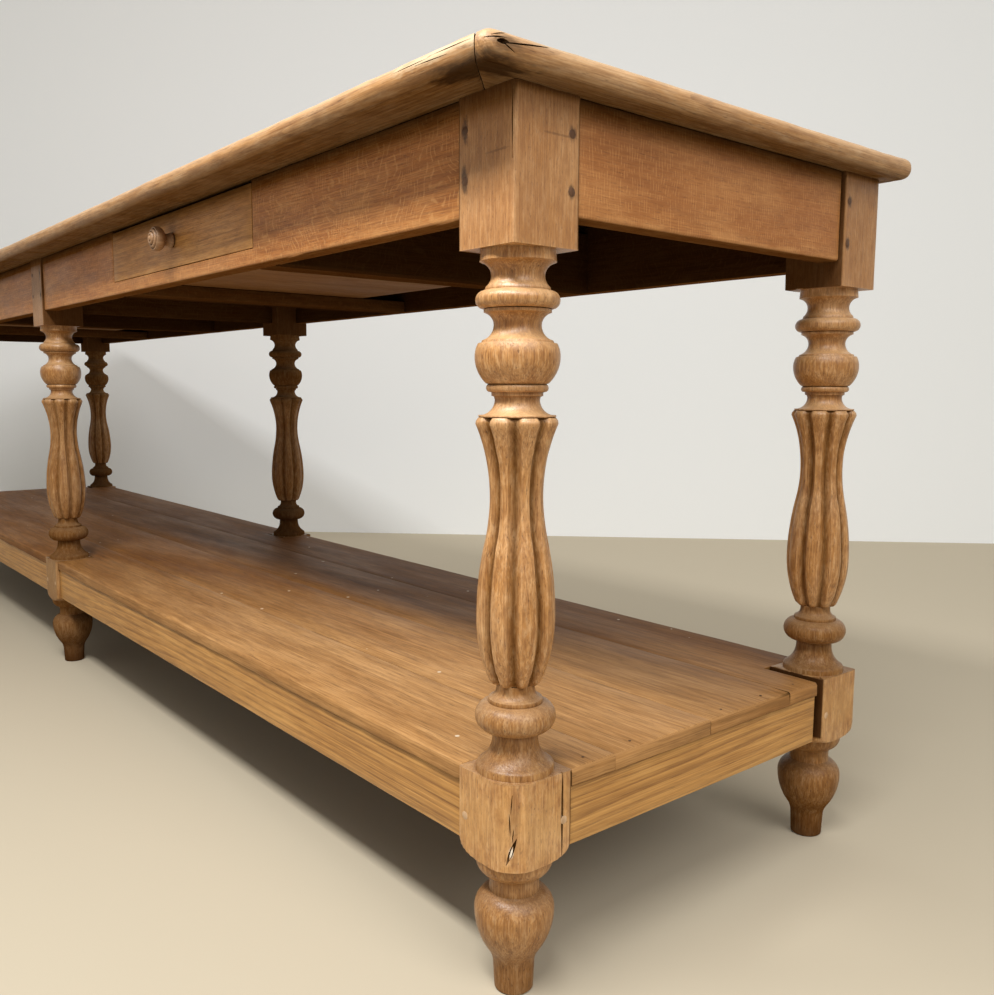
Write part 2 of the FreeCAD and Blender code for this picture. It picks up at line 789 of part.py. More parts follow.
def drawer(bay):
    """A nailed drawer: lapped front, two sides, back, bottom board and turned knob."""
    centre = BAY_CENTRES[bay]
    name = f"drawer_{bay}"
    face = rail_face["front"]
    front_inside = face + dim.drawer_front_thickness
    back_end = face + dim.drawer_length
    bottom = sill_top + dim.running_gap
    floor = bottom + dim.drawer_bottom_thickness
    rim = floor + dim.drawer_side_height
    half_box = dim.drawer_width / 2 - dim.drawer_side_inset
    slack = dim.joint_clearance

    front_across = grown((centre, centre), dim.drawer_width / 2)
    front = box(f"{name}_front_board", front_across, (face, front_inside),
                (bottom, dim.underside_height - dim.drawer_gap))
    knob_height = sill_top + dim.knob_rise
    hole_length = dim.drawer_front_thickness + 2 * OVERSHOOT
    front_cuts = [rod(f"{name}_knob_hole", (centre, face - OVERSHOOT, knob_height), "+y",
                      hole_length, dim.knob_shank_radius + dim.knob_clearance)]
    for side, sign in (("right", 1), ("left", -1)):
        outer = centre + sign * half_box
        inner = outer - sign * dim.drawer_side_thickness
        across = (inner, outer) if sign > 0 else (outer, inner)
        housed = front_inside - dim.drawer_housing_depth
        node = f"{name}_side_{side}"
        keep(node, box(node, across, (housed, back_end), (floor, rim)))
        front_cuts.append(box(f"{node}_housing", grown(across, slack),
                              (housed - slack, front_inside + OVERSHOOT), grown((floor, rim), slack)))
    keep(f"{name}_front", cut(f"{name}_front", front, front_cuts))

    between = grown((centre, centre), half_box - dim.drawer_side_thickness)
    back_span = (back_end - dim.drawer_side_thickness, back_end)
    keep(f"{name}_back", box(f"{name}_back", between, back_span, (floor, rim)))
    under = grown((centre, centre), half_box)
    keep(f"{name}_bottom", box(f"{name}_bottom", under, (front_inside, back_end), (bottom, floor)))
    knob = turned(f"{name}_knob", (as_size(0), -dim.drawer_front_thickness), draw_knob)
    knob.Placement.Rotation = TURNS["-y"]
    keep(f"{name}_knob", place(knob, centre, face, knob_height))


def top_blank():
    """The whole top as one rounded slab, cut into its boards afterwards."""
    body = doc.addObject("PartDesign::Body", "top_blank")
    sketch = new_sketch(body, "top_plan", "XY_Plane")
    bind(sketch, "AttachmentOffset.Base.z", dim.underside_height)
    outline = Outline(sketch, (-top_end, top_front))
    outline.line(top_end, top_front)
    outline.line(top_end, top_back)
    outline.line(-top_end, top_back)
    outline.finish()
    slab = body.newObject("PartDesign::Pad", "top_slab")
    slab.Profile = sketch
    bind(slab, "Length", dim.top_thickness)
    doc.recompute()
    corners = body.newObject("PartDesign::Fillet", "top_corners")
    corners.Base = (slab, edges_along(slab.Shape, upright=True))
    bind(corners, "Radius", dim.top_corner_radius)
    doc.recompute()
    nose = body.newObject("PartDesign::Fillet", "top_nose")
    nose.Base = (corners, edges_along(corners.Shape, upright=False))
    most = dim.top_thickness * 0.49
    bind(nose, "Radius", lesser(dim.top_nose_radius, most))
    return body


def edges_along(shape, upright):
    """Names of a slab's upright edges, or of the edges round its two flat faces."""
    return [f"Edge{number}" for number, edge in enumerate(shape.Edges, start=1)
            if (edge.BoundBox.ZLength > 1) == upright]


def plan_prism(name, points):
    """A prism over a plan outline, through the top's whole thickness."""
    body = doc.addObject("PartDesign::Body", name)
    sketch = new_sketch(body, f"{name}_plan", "XY_Plane")
    bind(sketch, "AttachmentOffset.Base.z", dim.underside_height)
    outline = Outline(sketch, points[0])
    for across, up in points[1:]:
        outline.line(across, up)
    outline.finish()
    prism = body.newObject("PartDesign::Pad", f"{name}_prism")
    prism.Profile = sketch
    bind(prism, "Length", dim.top_thickness)
    return body


def top():
    """Mitred border boards and end cleats round inner boards that are tongued into the cleats."""
    blank = top_blank()
    mitre_out = top_end - (dim.cleat_width - dim.border_width)
    mitre_in = top_end - dim.cleat_width
    seam = dim.seam_gap
    edges = {"front": (top_front, top_front + dim.border_width),
             "back": (top_back, top_back - dim.border_width)}
    for row, (outer, inner) in edges.items():
        node = f"top_{row}_board"
        points = [(-mitre_out + seam, outer), (mitre_out - seam, outer),
                  (mitre_in - seam, inner), (-mitre_in + seam, inner)]
        keep(node, common(node, blank, plan_prism(f"{node}_outline", points)))

    middle = dim.underside_height + dim.top_thickness / 2
    tongue = grown((middle, middle), dim.tongue_thickness / 2)
    field = (edges["front"][1], edges["back"][1])
    for end in ENDS:
        side = OUTWARD[end]
        points = [(side * top_end, top_front), (side * top_end, top_back),
                  (side * mitre_out, top_back), (side * mitre_in, field[1]),
                  (side * mitre_in, field[0]), (side * mitre_out, top_front)]
        slack = dim.joint_clearance
        depth = (mitre_in - OVERSHOOT, mitre_in + dim.tongue_length + slack)
        across = depth if side > 0 else (-depth[1], -depth[0])
        groove = box(f"top_groove_{end}", across, field, grown(tongue, slack))
        node = f"top_cleat_{end}"
        stock = common(f"{node}_stock", blank, plan_prism(f"{node}_outline", points))
        keep(node, cut(node, stock, [groove]))

    width = (field[1] - field[0]) / INNER_TOP_BOARDS
    for number in range(INNER_TOP_BOARDS):
        node = f"top_inner_board_{number + 1}"
        start = field[0] + number * width + seam
        across = (start, field[0] + (number + 1) * width - (seam if number == INNER_TOP_BOARDS - 1 else 0))
        along = (-mitre_in + seam, mitre_in - seam)
        body = box(f"{node}_body", along, across, (dim.underside_height, top_surface))
        core = box(f"{node}_tongue", grown((-mitre_in, mitre_in), dim.tongue_length), across, tongue)
        keep(node, fuse(node, [body, core]))


def shelf_boards():
    """Boards along the whole shelf, notched round the leg blocks and nailed to the cross rails."""
    slack = dim.joint_clearance
    end = dim.bay_length + half_block + dim.shelf_end_overhang
    front = front_axis - half_block + dim.shelf_front_inset
    back = back_axis + half_block - dim.shelf_back_inset
    inner = (front + dim.shelf_edge_board_width, back - dim.shelf_edge_board_width)
    width = (inner[1] - inner[0]) / INNER_SHELF_BOARDS
    seams = [front] + [inner[0] + number * width for number in range(INNER_SHELF_BOARDS + 1)] + [back]
    notches = {"front": [], "back": []}
    for (row, column) in leg_cuts:
        axis = COLUMNS[column]
        across = grown((axis, axis), half_block + slack)
        if column == "right":
            across = (across[0], end + OVERSHOOT)
        if column == "left":
            across = (-end - OVERSHOOT, across[1])
        loose = dim.shelf_back_slot if row == "back" and column != "middle" else slack
        if row == "front":
            deep = (front - OVERSHOOT, front_axis + half_block + loose)
        else:
            deep = (back_axis - half_block - loose, back + OVERSHOOT)
        up = grown((shelf_underside, dim.shelf_height), OVERSHOOT)
        notches[row].append(box(f"shelf_notch_{row}_{column}", across, deep, up))

    rail_middle = dim.bay_length + half_block - dim.shelf_end_setback - dim.rail_thickness / 2
    cross = {"shelf_end_rail_right": rail_middle, "shelf_middle_rail": as_size(0),
             "shelf_end_rail_left": -rail_middle}
    rows = [[(front_axis + half_block + seams[1]) / 2]]
    for number in range(1, INNER_SHELF_BOARDS + 1):
        rows.append([seams[number] + width * share for share in (0.25, 0.75)])
    rows.append([(back_axis - half_block - dim.shelf_back_slot + seams[-2]) / 2])
    nails = []
    for number, places in enumerate(rows):
        node = f"shelf_board_{number + 1}"
        board = box(f"{node}_stock", (-end, end),
                    (seams[number] + (dim.seam_gap if number else 0), seams[number + 1]),
                    (shelf_underside, dim.shelf_height))
        board_cuts = {0: notches["front"], len(rows) - 1: notches["back"]}.get(number, [])
        for rail_node, across in cross.items():
            for order, up in enumerate(places):
                name = f"nail_{rail_node}_{number}_{order}"
                start = (across, up, dim.shelf_height)
                nails.append(rod(name, start, "-z", dim.nail_length, dim.nail_radius))
                hole = rod(f"{name}_hole", (across, up, dim.shelf_height + OVERSHOOT), "-z",
                           dim.nail_length + OVERSHOOT + dim.nail_clearance,
                           dim.nail_radius + dim.nail_clearance)
                board_cuts = board_cuts + [hole]
                rail_cuts[rail_node].append(hole)
        keep(node, cut(node, board, board_cuts))
    group("shelf_nails", nails)


def glue_blocks():
    """Small blocks in the angle of the rails and the top, which hold the top down."""
    side = dim.glue_block_side
    up = (dim.underside_height - side, as_size(0) + dim.underside_height)
    blocks = []
    for row, inside in rail_inside.items():
        deep = (inside, inside + side) if row == "front" else (inside - side, inside)
        for bay, centre in BAY_CENTRES.items():
            for number, sign in enumerate((-1, 1)):
                at = centre + sign * dim.glue_block_bay_offset
                across = grown((at, at), dim.glue_block_length / 2)
                blocks.append(box(f"glue_block_{row}_{bay}_{number}", across, deep, up))
    inner = dim.bay_length + half_block - dim.rail_setback - dim.rail_thickness
    middle = (front_axis + back_axis) / 2
    for end in ENDS:
        across = (inner - side, inner) if end == "right" else (-inner, side - inner)
        for number, sign in enumerate((-1, 1)):
            at = middle + sign * dim.glue_block_end_offset
            deep = grown((at, at), dim.glue_block_length / 2)
            blocks.append(box(f"glue_block_{end}_{number}", across, deep, up))
    group("glue_blocks", blocks)


def legs():
    blank = leg_blank()
    for (row, column), tools in leg_cuts.items():
        node = f"leg_{row}_{column}"
        stock = copy_at(f"{node}_stock", blank, COLUMNS[column], ROWS[row])
        if row == "front" and column in ENDS:
            tools = tools + [corner_rounding(row, column)]
        keep(node, cut(node, stock, tools))


def check_and_write():
    """Stop on any failed object or bad shape, then write every piece."""
    doc.recompute()
    failed = [item.Name for item in doc.Objects if {"Invalid", "Error"} & set(item.State)]
    bad = [node for node, item in PARTS.items() if item.Shape.isNull() or not item.Shape.isValid()]
    if failed or bad:
        raise RuntimeError(f"failed objects {failed}, bad shapes {bad}")
    os.makedirs("parts", exist_ok=True)
    for node, item in PARTS.items():
        item.Shape.exportStep(os.path.join("parts", f"{node}.step"))
        print(node, len(item.Shape.Solids), round(item.Shape.Volume / 1000, 2))


UPPER_SETBACKS = {"front": dim.rail_setback, "back": dim.rail_setback}
SHELF_SETBACKS = {"front": dim.shelf_front_setback, "back": dim.shelf_back_setback}
stocks = long_rails("", UPPER_LEVEL, UPPER_SETBACKS, "upper_rail_pegs", LONG_PEGS)
stocks.update(cross_rails("", UPPER_LEVEL, dim.rail_setback, "upper_rail_pegs", END_PEGS))
stocks.update(long_rails("shelf_", SHELF_LEVEL, SHELF_SETBACKS, "shelf_rail_pegs", SHELF_PEGS))
stocks.update(cross_rails("shelf_", SHELF_LEVEL, dim.shelf_end_setback, "shelf_rail_pegs", SHELF_PEGS,
                          dim.shelf_back_slot))
for bay in BAYS:
    drawer_notch(bay)
    bearers(bay)
    drawer(bay)
shelf_boards()
glue_blocks()
top()
legs()
for node, stock in stocks.items():
    keep(node, cut(node, stock, rail_cuts[node]) if rail_cuts[node] else stock)
for node, rods in peg_groups.items():
    group(node, rods)
check_and_write()
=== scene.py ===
import json
import math

import bmesh
import bpy
import numpy as np
from mathutils import Matrix, Vector


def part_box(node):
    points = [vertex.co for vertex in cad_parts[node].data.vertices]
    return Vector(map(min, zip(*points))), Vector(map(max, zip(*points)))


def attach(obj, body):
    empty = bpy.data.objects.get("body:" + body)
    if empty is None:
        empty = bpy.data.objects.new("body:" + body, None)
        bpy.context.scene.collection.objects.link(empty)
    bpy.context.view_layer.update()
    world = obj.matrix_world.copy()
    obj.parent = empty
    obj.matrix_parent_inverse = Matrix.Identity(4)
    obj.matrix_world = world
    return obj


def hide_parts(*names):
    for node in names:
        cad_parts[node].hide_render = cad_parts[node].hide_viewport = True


# A long oak drapers table, dressed over its solid model: worn boards, turned and lobed legs,
# and stripped, dry-waxed oak. Metres, +Z up, the front is -Y and the right +X.
# Numbers times MM are millimetres.

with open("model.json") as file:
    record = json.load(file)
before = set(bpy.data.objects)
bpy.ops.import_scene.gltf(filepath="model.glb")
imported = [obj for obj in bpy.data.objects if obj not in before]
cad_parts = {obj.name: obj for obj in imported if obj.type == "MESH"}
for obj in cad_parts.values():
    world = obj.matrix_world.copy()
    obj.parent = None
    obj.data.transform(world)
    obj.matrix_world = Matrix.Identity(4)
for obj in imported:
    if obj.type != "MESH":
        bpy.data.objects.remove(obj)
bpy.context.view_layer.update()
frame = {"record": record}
MM = 0.001
BODY_OF = {node: body for body, nodes in frame["record"]["behaviour"]["bodies"].items() for node in nodes}
SLOT_OF = {part["node"]: part["material_slot"] for part in frame["record"]["subparts"]}

# Places of the frame, in millimetres
LEG_X = {"left": -1380, "middle": 0, "right": 1380}
LEG_Y = {"front": -233, "back": 257}
BAYS = {"right": 690, "left": -690}
HALF_BLOCK = 37
HIGH_BLOCK_FOOT = 674
UNDERSIDE = 800
SHELF = 212.5
RAIL_FOOT = 701
TENON = 35
# The shelf stops this far short of the back corner legs
BACK_GAP = 12
# Pegs stand this far off a leg's middle, at these heights in the long rails, end rails and shelf rails
PEG_INSET = 27
LONG_PEGS = (731, 772)
END_PEGS = (721, 768)
SHELF_PEGS = (167.5,)


# Editing by hand, with what is selected given by place


def start(kind, **settings):
    """Add a primitive with nothing else selected and open it for editing."""
    bpy.ops.object.select_all(action="DESELECT")
    getattr(bpy.ops.mesh, f"primitive_{kind}_add")(**settings)
    bpy.ops.object.transform_apply(location=True, rotation=True, scale=True)
    bpy.ops.object.mode_set(mode="EDIT")
    return bpy.context.object


def done():
    bpy.ops.object.mode_set(mode="OBJECT")
    return bpy.context.object


def only(piece):
    """Make one piece the selected and active one."""
    bpy.ops.object.select_all(action="DESELECT")
    piece.select_set(True)
    bpy.context.view_layer.objects.active = piece


def again(piece):
    """The same piece once more, with its own mesh, selected alone."""
    only(piece)
    bpy.ops.object.duplicate()
    return bpy.context.object


def put(piece, x=0, y=0, z=0, turn=(0, 0, 0)):
    """Turn and move a finished piece, then let its mesh take the place."""
    only(piece)
    piece.rotation_euler = [math.radians(angle) for angle in turn]
    piece.location = (x, y, z)
    bpy.ops.object.transform_apply(location=True, rotation=True, scale=True)


def join(pieces):
    bpy.ops.object.select_all(action="DESELECT")
    for piece in pieces:
        piece.select_set(True)
    bpy.context.view_layer.objects.active = pieces[0]
    bpy.ops.object.join()
    return pieces[0]


def pick(kind, test):
    """Select the points, edges or faces that pass a test, and nothing else."""
    bpy.ops.mesh.select_mode(type=kind)
    bpy.ops.mesh.select_all(action="DESELECT")
    data = bpy.context.object.data
    mesh = bmesh.from_edit_mesh(data)
    for item in {"VERT": mesh.verts, "EDGE": mesh.edges, "FACE": mesh.faces}[kind]:
        item.select_set(test(item))
    mesh.select_flush_mode()
    bmesh.update_edit_mesh(data)


def runs_along(axis):
    return lambda edge: abs((edge.verts[1].co - edge.verts[0].co).normalized()[axis]) > 0.99


def cut(point, normal, **settings):
    """Cut right through the open piece with a plane; the point is in metres."""
    bpy.ops.mesh.select_all(action="SELECT")
    bpy.ops.mesh.bisect(plane_co=point, plane_no=normal, **settings)


def pull(*way):
    """Extrude what is selected, by millimetres."""
    bpy.ops.mesh.extrude_region_move(TRANSFORM_OT_translate={"value": [part * MM for part in way]})


def plank_blank(low, high, run, cell=22, rows=3):
    """A squared board, cut into cells along its length and across its wide faces; sizes in millimetres."""
    low, high = Vector(low) * MM, Vector(high) * MM
    size = high - low
    start("cube", size=1, location=(low + high) / 2, scale=size)
    pick("EDGE", runs_along(run))
    bpy.ops.mesh.subdivide(number_cuts=max(1, round(size[run] / (cell * MM))))
    wide = max((axis for axis in range(3) if axis != run), key=lambda axis: size[axis])
    pick("EDGE", runs_along(wide))
    bpy.ops.mesh.subdivide(number_cuts=rows)


def ease_arrises(width):
    """Round over the sharp edges of the open piece."""
    bpy.ops.mesh.select_mode(type="EDGE")
    bpy.ops.mesh.select_all(action="DESELECT")
    bpy.ops.mesh.edges_select_sharp(sharpness=math.radians(50))
    bpy.ops.mesh.bevel(offset=width * MM, segments=2, affect="EDGES")


def wear_down(piece, depth, spread, where=None):
    """Unevenness of old, hand-scraped wood where a test passes; depth and spread in millimetres."""
    title = f"uneven_{spread}"
    texture = bpy.data.textures.get(title) or bpy.data.textures.new(title, type="CLOUDS")
    texture.noise_scale = spread * MM
    texture.noise_depth = 2
    only(piece)
    modifier = piece.modifiers.new("uneven", "DISPLACE")
    modifier.texture = texture
    modifier.texture_coords = "LOCAL"
    modifier.mid_level = 0.55
    modifier.strength = depth * MM
    if where:
        worn = piece.vertex_groups.new(name="worn")
        worn.add([point.index for point in piece.data.vertices if where(point.co)], 1, "REPLACE")
        modifier.vertex_group = worn.name
    bpy.ops.object.modifier_apply(modifier=modifier.name)
    piece.vertex_groups.clear()


# What each board tells its material


def write(piece, name, kind, values):
    layer = piece.data.attributes.new(name, kind, "POINT")
    field = "vector" if kind == "FLOAT_VECTOR" else "value"
    layer.data.foreach_set(field, np.ravel(values).astype(np.float32))


def points_of(piece):
    flat = np.empty(len(piece.data.vertices) * 3, np.float32)
    piece.data.vertices.foreach_get("co", flat)
    return flat.reshape(-1, 3)


def mark_grain(piece, run, seed, soil_and_shade_of=None):
    """Give each point its place in the board (length, width, thickness), the board's half sizes and seed."""
    points = points_of(piece)
    low, high = points.min(0), points.max(0)
    across = sorted((axis for axis in range(3) if axis != run), key=lambda axis: low[axis] - high[axis])
    write(piece, "grain", "FLOAT_VECTOR", (points - (low + high) / 2)[:, [run] + across])
    half = ((high - low) / 2)[across]
    write(piece, "board", "FLOAT_VECTOR", np.tile([half[0], half[1], seed], (len(points), 1)))
    write(piece, "soil_and_shade", "FLOAT", soil_and_shade_of(points) if soil_and_shade_of else np.zeros(len(points)))


def dress(piece, node, material, smooth=50):
    """Name a piece for its solid node, give it its wood, and let it stand for the node."""
    piece.name = piece.data.name = node
    only(piece)
    bpy.ops.object.shade_smooth_by_angle(angle=math.radians(smooth))
    piece.data.materials.clear()
    piece.data.materials.append(material)
    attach(piece, BODY_OF[node])
    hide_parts(node)
    return piece


# Materials


def linear(code):
    """An sRGB hex colour as linear light."""
    parts = [int(code[at:at + 2], 16) / 255 for at in (1, 3, 5)]
    return [part / 12.92 if part <= 0.04045 else ((part + 0.055) / 1.055) ** 2.4 for part in parts] + [1]


def add(tree, kind, *values, out=None, **settings):
    """Add one node with its settings; the values go to its inputs in order, and one output comes back."""
    made = tree.nodes.new(f"ShaderNode{kind}")
    for name, value in settings.items():
        setattr(made, name, value)
    for socket, value in zip([socket for socket in made.inputs if socket.enabled], values):
        if isinstance(value, bpy.types.NodeSocket):
            tree.links.new(value, socket)
        elif value is not None:
            socket.default_value = value
    return made.outputs[out] if out else next(socket for socket in made.outputs if socket.enabled)


def new_material(name):
    material = bpy.data.materials.new(name)
    material.use_nodes = True
    tree = material.node_tree
    return material, tree, tree.nodes["Principled BSDF"]


def oak(name, wood, early, pale, dirt_and_shade, ring, pith, tilt=2, figure=0.35, fibre=0.35, pores=0.3, cloudy=0.35,
        rays=None, edge=5, rub=0.35, roughness=0.46, shine=0.5, raised=0.5, drawn=1, spots=(), highlight_and_dust_height=None,
        tint=None, paint=None):
    """Stripped oak, dry waxed: growth rings round a pith beside the board, dark open pores, long fibres,
    cloudy old stain, pale rubbed arrises, and dirt and painted shade in every hollow and near other parts.
    Lengths in millimetres, tilt in degrees; drawn stretches or shortens what runs along the grain.
    """
    material, tree, shader = new_material(name)
    wood, early, pale, dirt_and_shade = (linear(code) for code in (wood, early, pale, dirt_and_shade))
    place = add(tree, "Attribute", out="Vector", attribute_name="grain")
    soil_and_shade = add(tree, "Attribute", out="Fac", attribute_name="soil_and_shade")
    sizes = add(tree, "Attribute", out="Vector", attribute_name="board")
    halves = add(tree, "SeparateXYZ", sizes).node.outputs
    sides = add(tree, "SeparateXYZ", place).node.outputs
    seed = halves[2]
    shift = add(tree, "VectorMath", (31, 17, 23), seed, operation="SCALE")
    seat = add(tree, "VectorMath", place, shift, operation="ADD")

    # Noise drawn out along the grain: length and width of its features in millimetres, octaves and roughness
    fields = {}
    for title, length, width, octaves, rough in (
            ("sway", 420, 110, 2, 0.5), ("waver", 90, 9, 2, 0.5), ("fibre", 70, 1.4, 2, 0.6),
            ("streak", 240, 6, 3, 0.6), ("mottle", 30, 6, 3, 0.65), ("pore", 9, 1.0, 1, 0.5),
            ("cloud", 160, 60, 3, 0.6), ("wear", 34, 11, 3, 0.7), ("speck", 7, 7, 1, 0.5)):
        squeeze = (1 / (length * drawn * MM), 1 / (width * MM), 1 / (width * MM))
        stretched = add(tree, "VectorMath", seat, squeeze, operation="MULTIPLY")
        fields[title] = add(tree, "TexNoise", stretched, 1, octaves, rough).node.outputs
    fine = fields["fibre"]["Fac"]
    mottle = fields["mottle"]["Fac"]
    wear = fields["wear"]["Fac"]
    cloud = add(tree, "SeparateColor", fields["cloud"]["Color"]).node.outputs

    # Rings: the board's cross-section bends slowly along its length, so flat faces show arches
    bent = place
    for title, sway in (("sway", 34), ("waver", 4)):
        drift = add(tree, "VectorMath", fields[title]["Color"], (0.5, 0.5, 0.5), operation="SUBTRACT")
        bent = add(tree, "VectorMath", drift, (0, sway * MM, sway * MM), bent, operation="MULTIPLY_ADD")
    own = add(tree, "VectorMath", (0, 0.07, 0.03), seed, operation="SCALE")
    bent = add(tree, "VectorMath", bent, own, operation="ADD")
    heart = add(tree, "Mapping", bent, (0, pith[0] * MM, pith[1] * MM),
                (0, math.radians(tilt), math.radians(tilt / 3)))
    rings = add(tree, "TexWave", heart, math.pi / 10 / (ring * MM), out="Fac", wave_type="RINGS",
                rings_direction="X", wave_profile="SAW")

    colour = wood
    for share, shade in (
            (add(tree, "MapRange", rings, 0.5, 0.0, 0.0, figure), early),
            (add(tree, "MapRange", fields["streak"]["Fac"], 0.45, 0.7, 0.0, fibre), early),
            (add(tree, "MapRange", cloud[0], 0.45, 0.70, 0.0, cloudy), pale),
            (add(tree, "MapRange", mottle, 0.48, 0.68, 0.0, fibre), early),
            (add(tree, "MapRange", mottle, 0.48, 0.30, 0.0, fibre), pale),
            (add(tree, "MapRange", fine, 0.46, 0.66, 0.0, fibre), early),
            (add(tree, "MapRange", fine, 0.46, 0.30, 0.0, fibre * 0.8), pale)):
        colour = add(tree, "Mix", share, colour, shade, data_type="RGBA")
    deep = add(tree, "Mix", 1.0, colour, (0.60, 0.52, 0.44, 1), data_type="RGBA", blend_type="MULTIPLY")
    age = add(tree, "MapRange", cloud[1], 0.46, 0.68, 0.0, cloudy)
    age = add(tree, "Math", age, add(tree, "MapRange", seed, 0.0, 1.0, 0.0, 0.15), operation="MAXIMUM")
    colour = add(tree, "Mix", age, colour, deep, data_type="RGBA")
    # Pores are drawn three times as wide as real ones, or they would not show
    pore = add(tree, "MapRange", fields["pore"]["Fac"], 0.6, 0.7, 0.0, pores)
    pore = add(tree, "Math", pore, add(tree, "MapRange", rings, 0.6, 0.05, 0.4, 1.0), operation="MULTIPLY")
    colour = add(tree, "Mix", pore, colour, dirt_and_shade, data_type="RGBA")
    if rays:
        # Medullary rays, cut lengthwise: pale flecks that curl across the grain in drifts
        spacing, curl, strength = rays
        flake = add(tree, "TexWave", seat, math.pi / 10 / (spacing * MM), curl, 1, 0.4, out="Fac",
                    bands_direction="X")
        flake = add(tree, "MapRange", flake, 0.7, 1.0, 0.0, strength)
        broken = add(tree, "MapRange", fields["speck"]["Fac"], 0.44, 0.58)
        flake = add(tree, "Math", flake, broken, operation="MULTIPLY")
        colour = add(tree, "Mix", flake, colour, pale, data_type="RGBA")
    if tint:
        # Another shade in patches, where an attribute of the board asks for it
        layer, shade, blend, most = tint
        amount = add(tree, "Attribute", out="Fac", attribute_name=layer)
        patchy = add(tree, "MapRange", cloud[2], 0.3, 0.7, -0.22, 0.22)
        amount = add(tree, "Math", amount, patchy, operation="ADD")
        amount = add(tree, "MapRange", amount, 0.0, 1.0, 0.0, most)
        colour = add(tree, "Mix", amount, colour, linear(shade), data_type="RGBA", blend_type=blend)
    if paint:
        # A few specks of old paint, up to 5 mm across
        speck = add(tree, "TexVoronoi", seat, 1 / (55 * MM))
        speck = add(tree, "MapRange", speck, 0.05, 0.04, 0.0, 0.85)
        colour = add(tree, "Mix", speck, colour, linear(paint), data_type="RGBA")

    # Rubbed arrises: near to two faces of the board at once, broken up by noise
    inset = []
    for half, side in ((halves[0], sides[1]), (halves[1], sides[2])):
        away = add(tree, "Math", side, operation="ABSOLUTE")
        inset.append(add(tree, "Math", half, away, operation="SUBTRACT"))
    rim = add(tree, "Math", *inset, operation="MAXIMUM")
    uneven = add(tree, "MapRange", wear, 0.3, 0.7, -edge * MM, edge * MM)
    ragged = add(tree, "Math", rim, uneven, operation="ADD")
    rubbed = add(tree, "MapRange", ragged, edge * MM, 0.0, 0.0, rub)
    crest = add(tree, "NewGeometry", out="Pointiness")
    high = add(tree, "MapRange", crest, 0.515, 0.60, 0.0, rub)
    rubbed = add(tree, "Math", rubbed, high, operation="MAXIMUM")
    colour = add(tree, "Mix", rubbed, colour, pale, data_type="RGBA")
    if highlight_and_dust_height:
        # Upward faces are painted paler, bleached wood and painted highlight together; below this height, as
        # measured from the board's middle, dust lies on them instead
        below = add(tree, "MapRange", sides[0], highlight_and_dust_height * MM, highlight_and_dust_height * MM - 0.05)
        ledge_highlight_and_dust = add(tree, "Mix", below, pale, linear("#7C6248"), data_type="RGBA")
        upright = add(tree, "SeparateXYZ", add(tree, "NewGeometry", out="Normal"), out="Z")
        upward_highlight_and_dust = add(tree, "MapRange", upright, 0.1, 0.8, 0.0, 0.38)
        colour = add(tree, "Mix", upward_highlight_and_dust, colour, ledge_highlight_and_dust, data_type="RGBA")
    for centre, reach, shade, amount in spots:
        # A stain or a knot: soft and uneven round one place on the board
        apart = add(tree, "VectorMath", place, [part * MM for part in centre], operation="SUBTRACT")
        apart = add(tree, "VectorMath", apart, [1 / (part * MM) for part in reach], operation="MULTIPLY")
        far = add(tree, "VectorMath", apart, operation="LENGTH")
        far = add(tree, "Math", far, add(tree, "MapRange", wear, 0.3, 0.7, -0.4, 0.4), operation="ADD")
        far = add(tree, "MapRange", far, 1.0, 0.45, 0.0, amount)
        colour = add(tree, "Mix", far, colour, linear(shade), data_type="RGBA")
    # Painted shade and dirt: the soil attribute and the hollows that Pointiness finds hold both, and the
    # ambient occlusion at two reaches is painted shade; all darken the wood towards its darkest colour
    dirt_and_painted_shade = add(tree, "Math", soil_and_shade, add(tree, "MapRange", crest, 0.49, 0.43, 0.0, 0.8), operation="MAXIMUM")
    for depth, strength in ((25, 0.6), (6, 0.9)):
        closed = add(tree, "AmbientOcclusion", None, depth * MM, out="AO", samples=6)
        closed = add(tree, "MapRange", closed, 0.8, 0.2, 0.0, strength)
        dirt_and_painted_shade = add(tree, "Math", dirt_and_painted_shade, closed, operation="MAXIMUM")
    colour = add(tree, "Mix", dirt_and_painted_shade, colour, dirt_and_shade, data_type="RGBA")

    grit = add(tree, "Math", fine, add(tree, "Math", pore, 1.5, operation="MULTIPLY"), operation="SUBTRACT")
    grit = add(tree, "Math", rings, 0.2, grit, operation="MULTIPLY_ADD")
    tree.links.new(add(tree, "Bump", raised, 0.5 * MM, None, grit), shader.inputs["Normal"])
    tree.links.new(colour, shader.inputs["Base Color"])
    sheen = add(tree, "MapRange", cloud[2], 0.3, 0.7, roughness - 0.06, roughness + 0.1)
    tree.links.new(sheen, shader.inputs["Roughness"])
    gloss = add(tree, "MapRange", dirt_and_painted_shade, 0.0, 0.6, shine, 0.0)
    tree.links.new(gloss, shader.inputs["Specular IOR Level"])
    return material


# Soot-brown dirt round the pegs of a leg, as (up, inward along the rail, inward across) from the leg's middle
PEG_STAINS = [((height - UNDERSIDE / 2, *side), (tall, 5, 5), "#3B2818", 0.75)
              for heights, side, tall in ((LONG_PEGS, (PEG_INSET, -HALF_BLOCK), 15),
                                          (END_PEGS, (-HALF_BLOCK, PEG_INSET), 8))
              for height in heights]
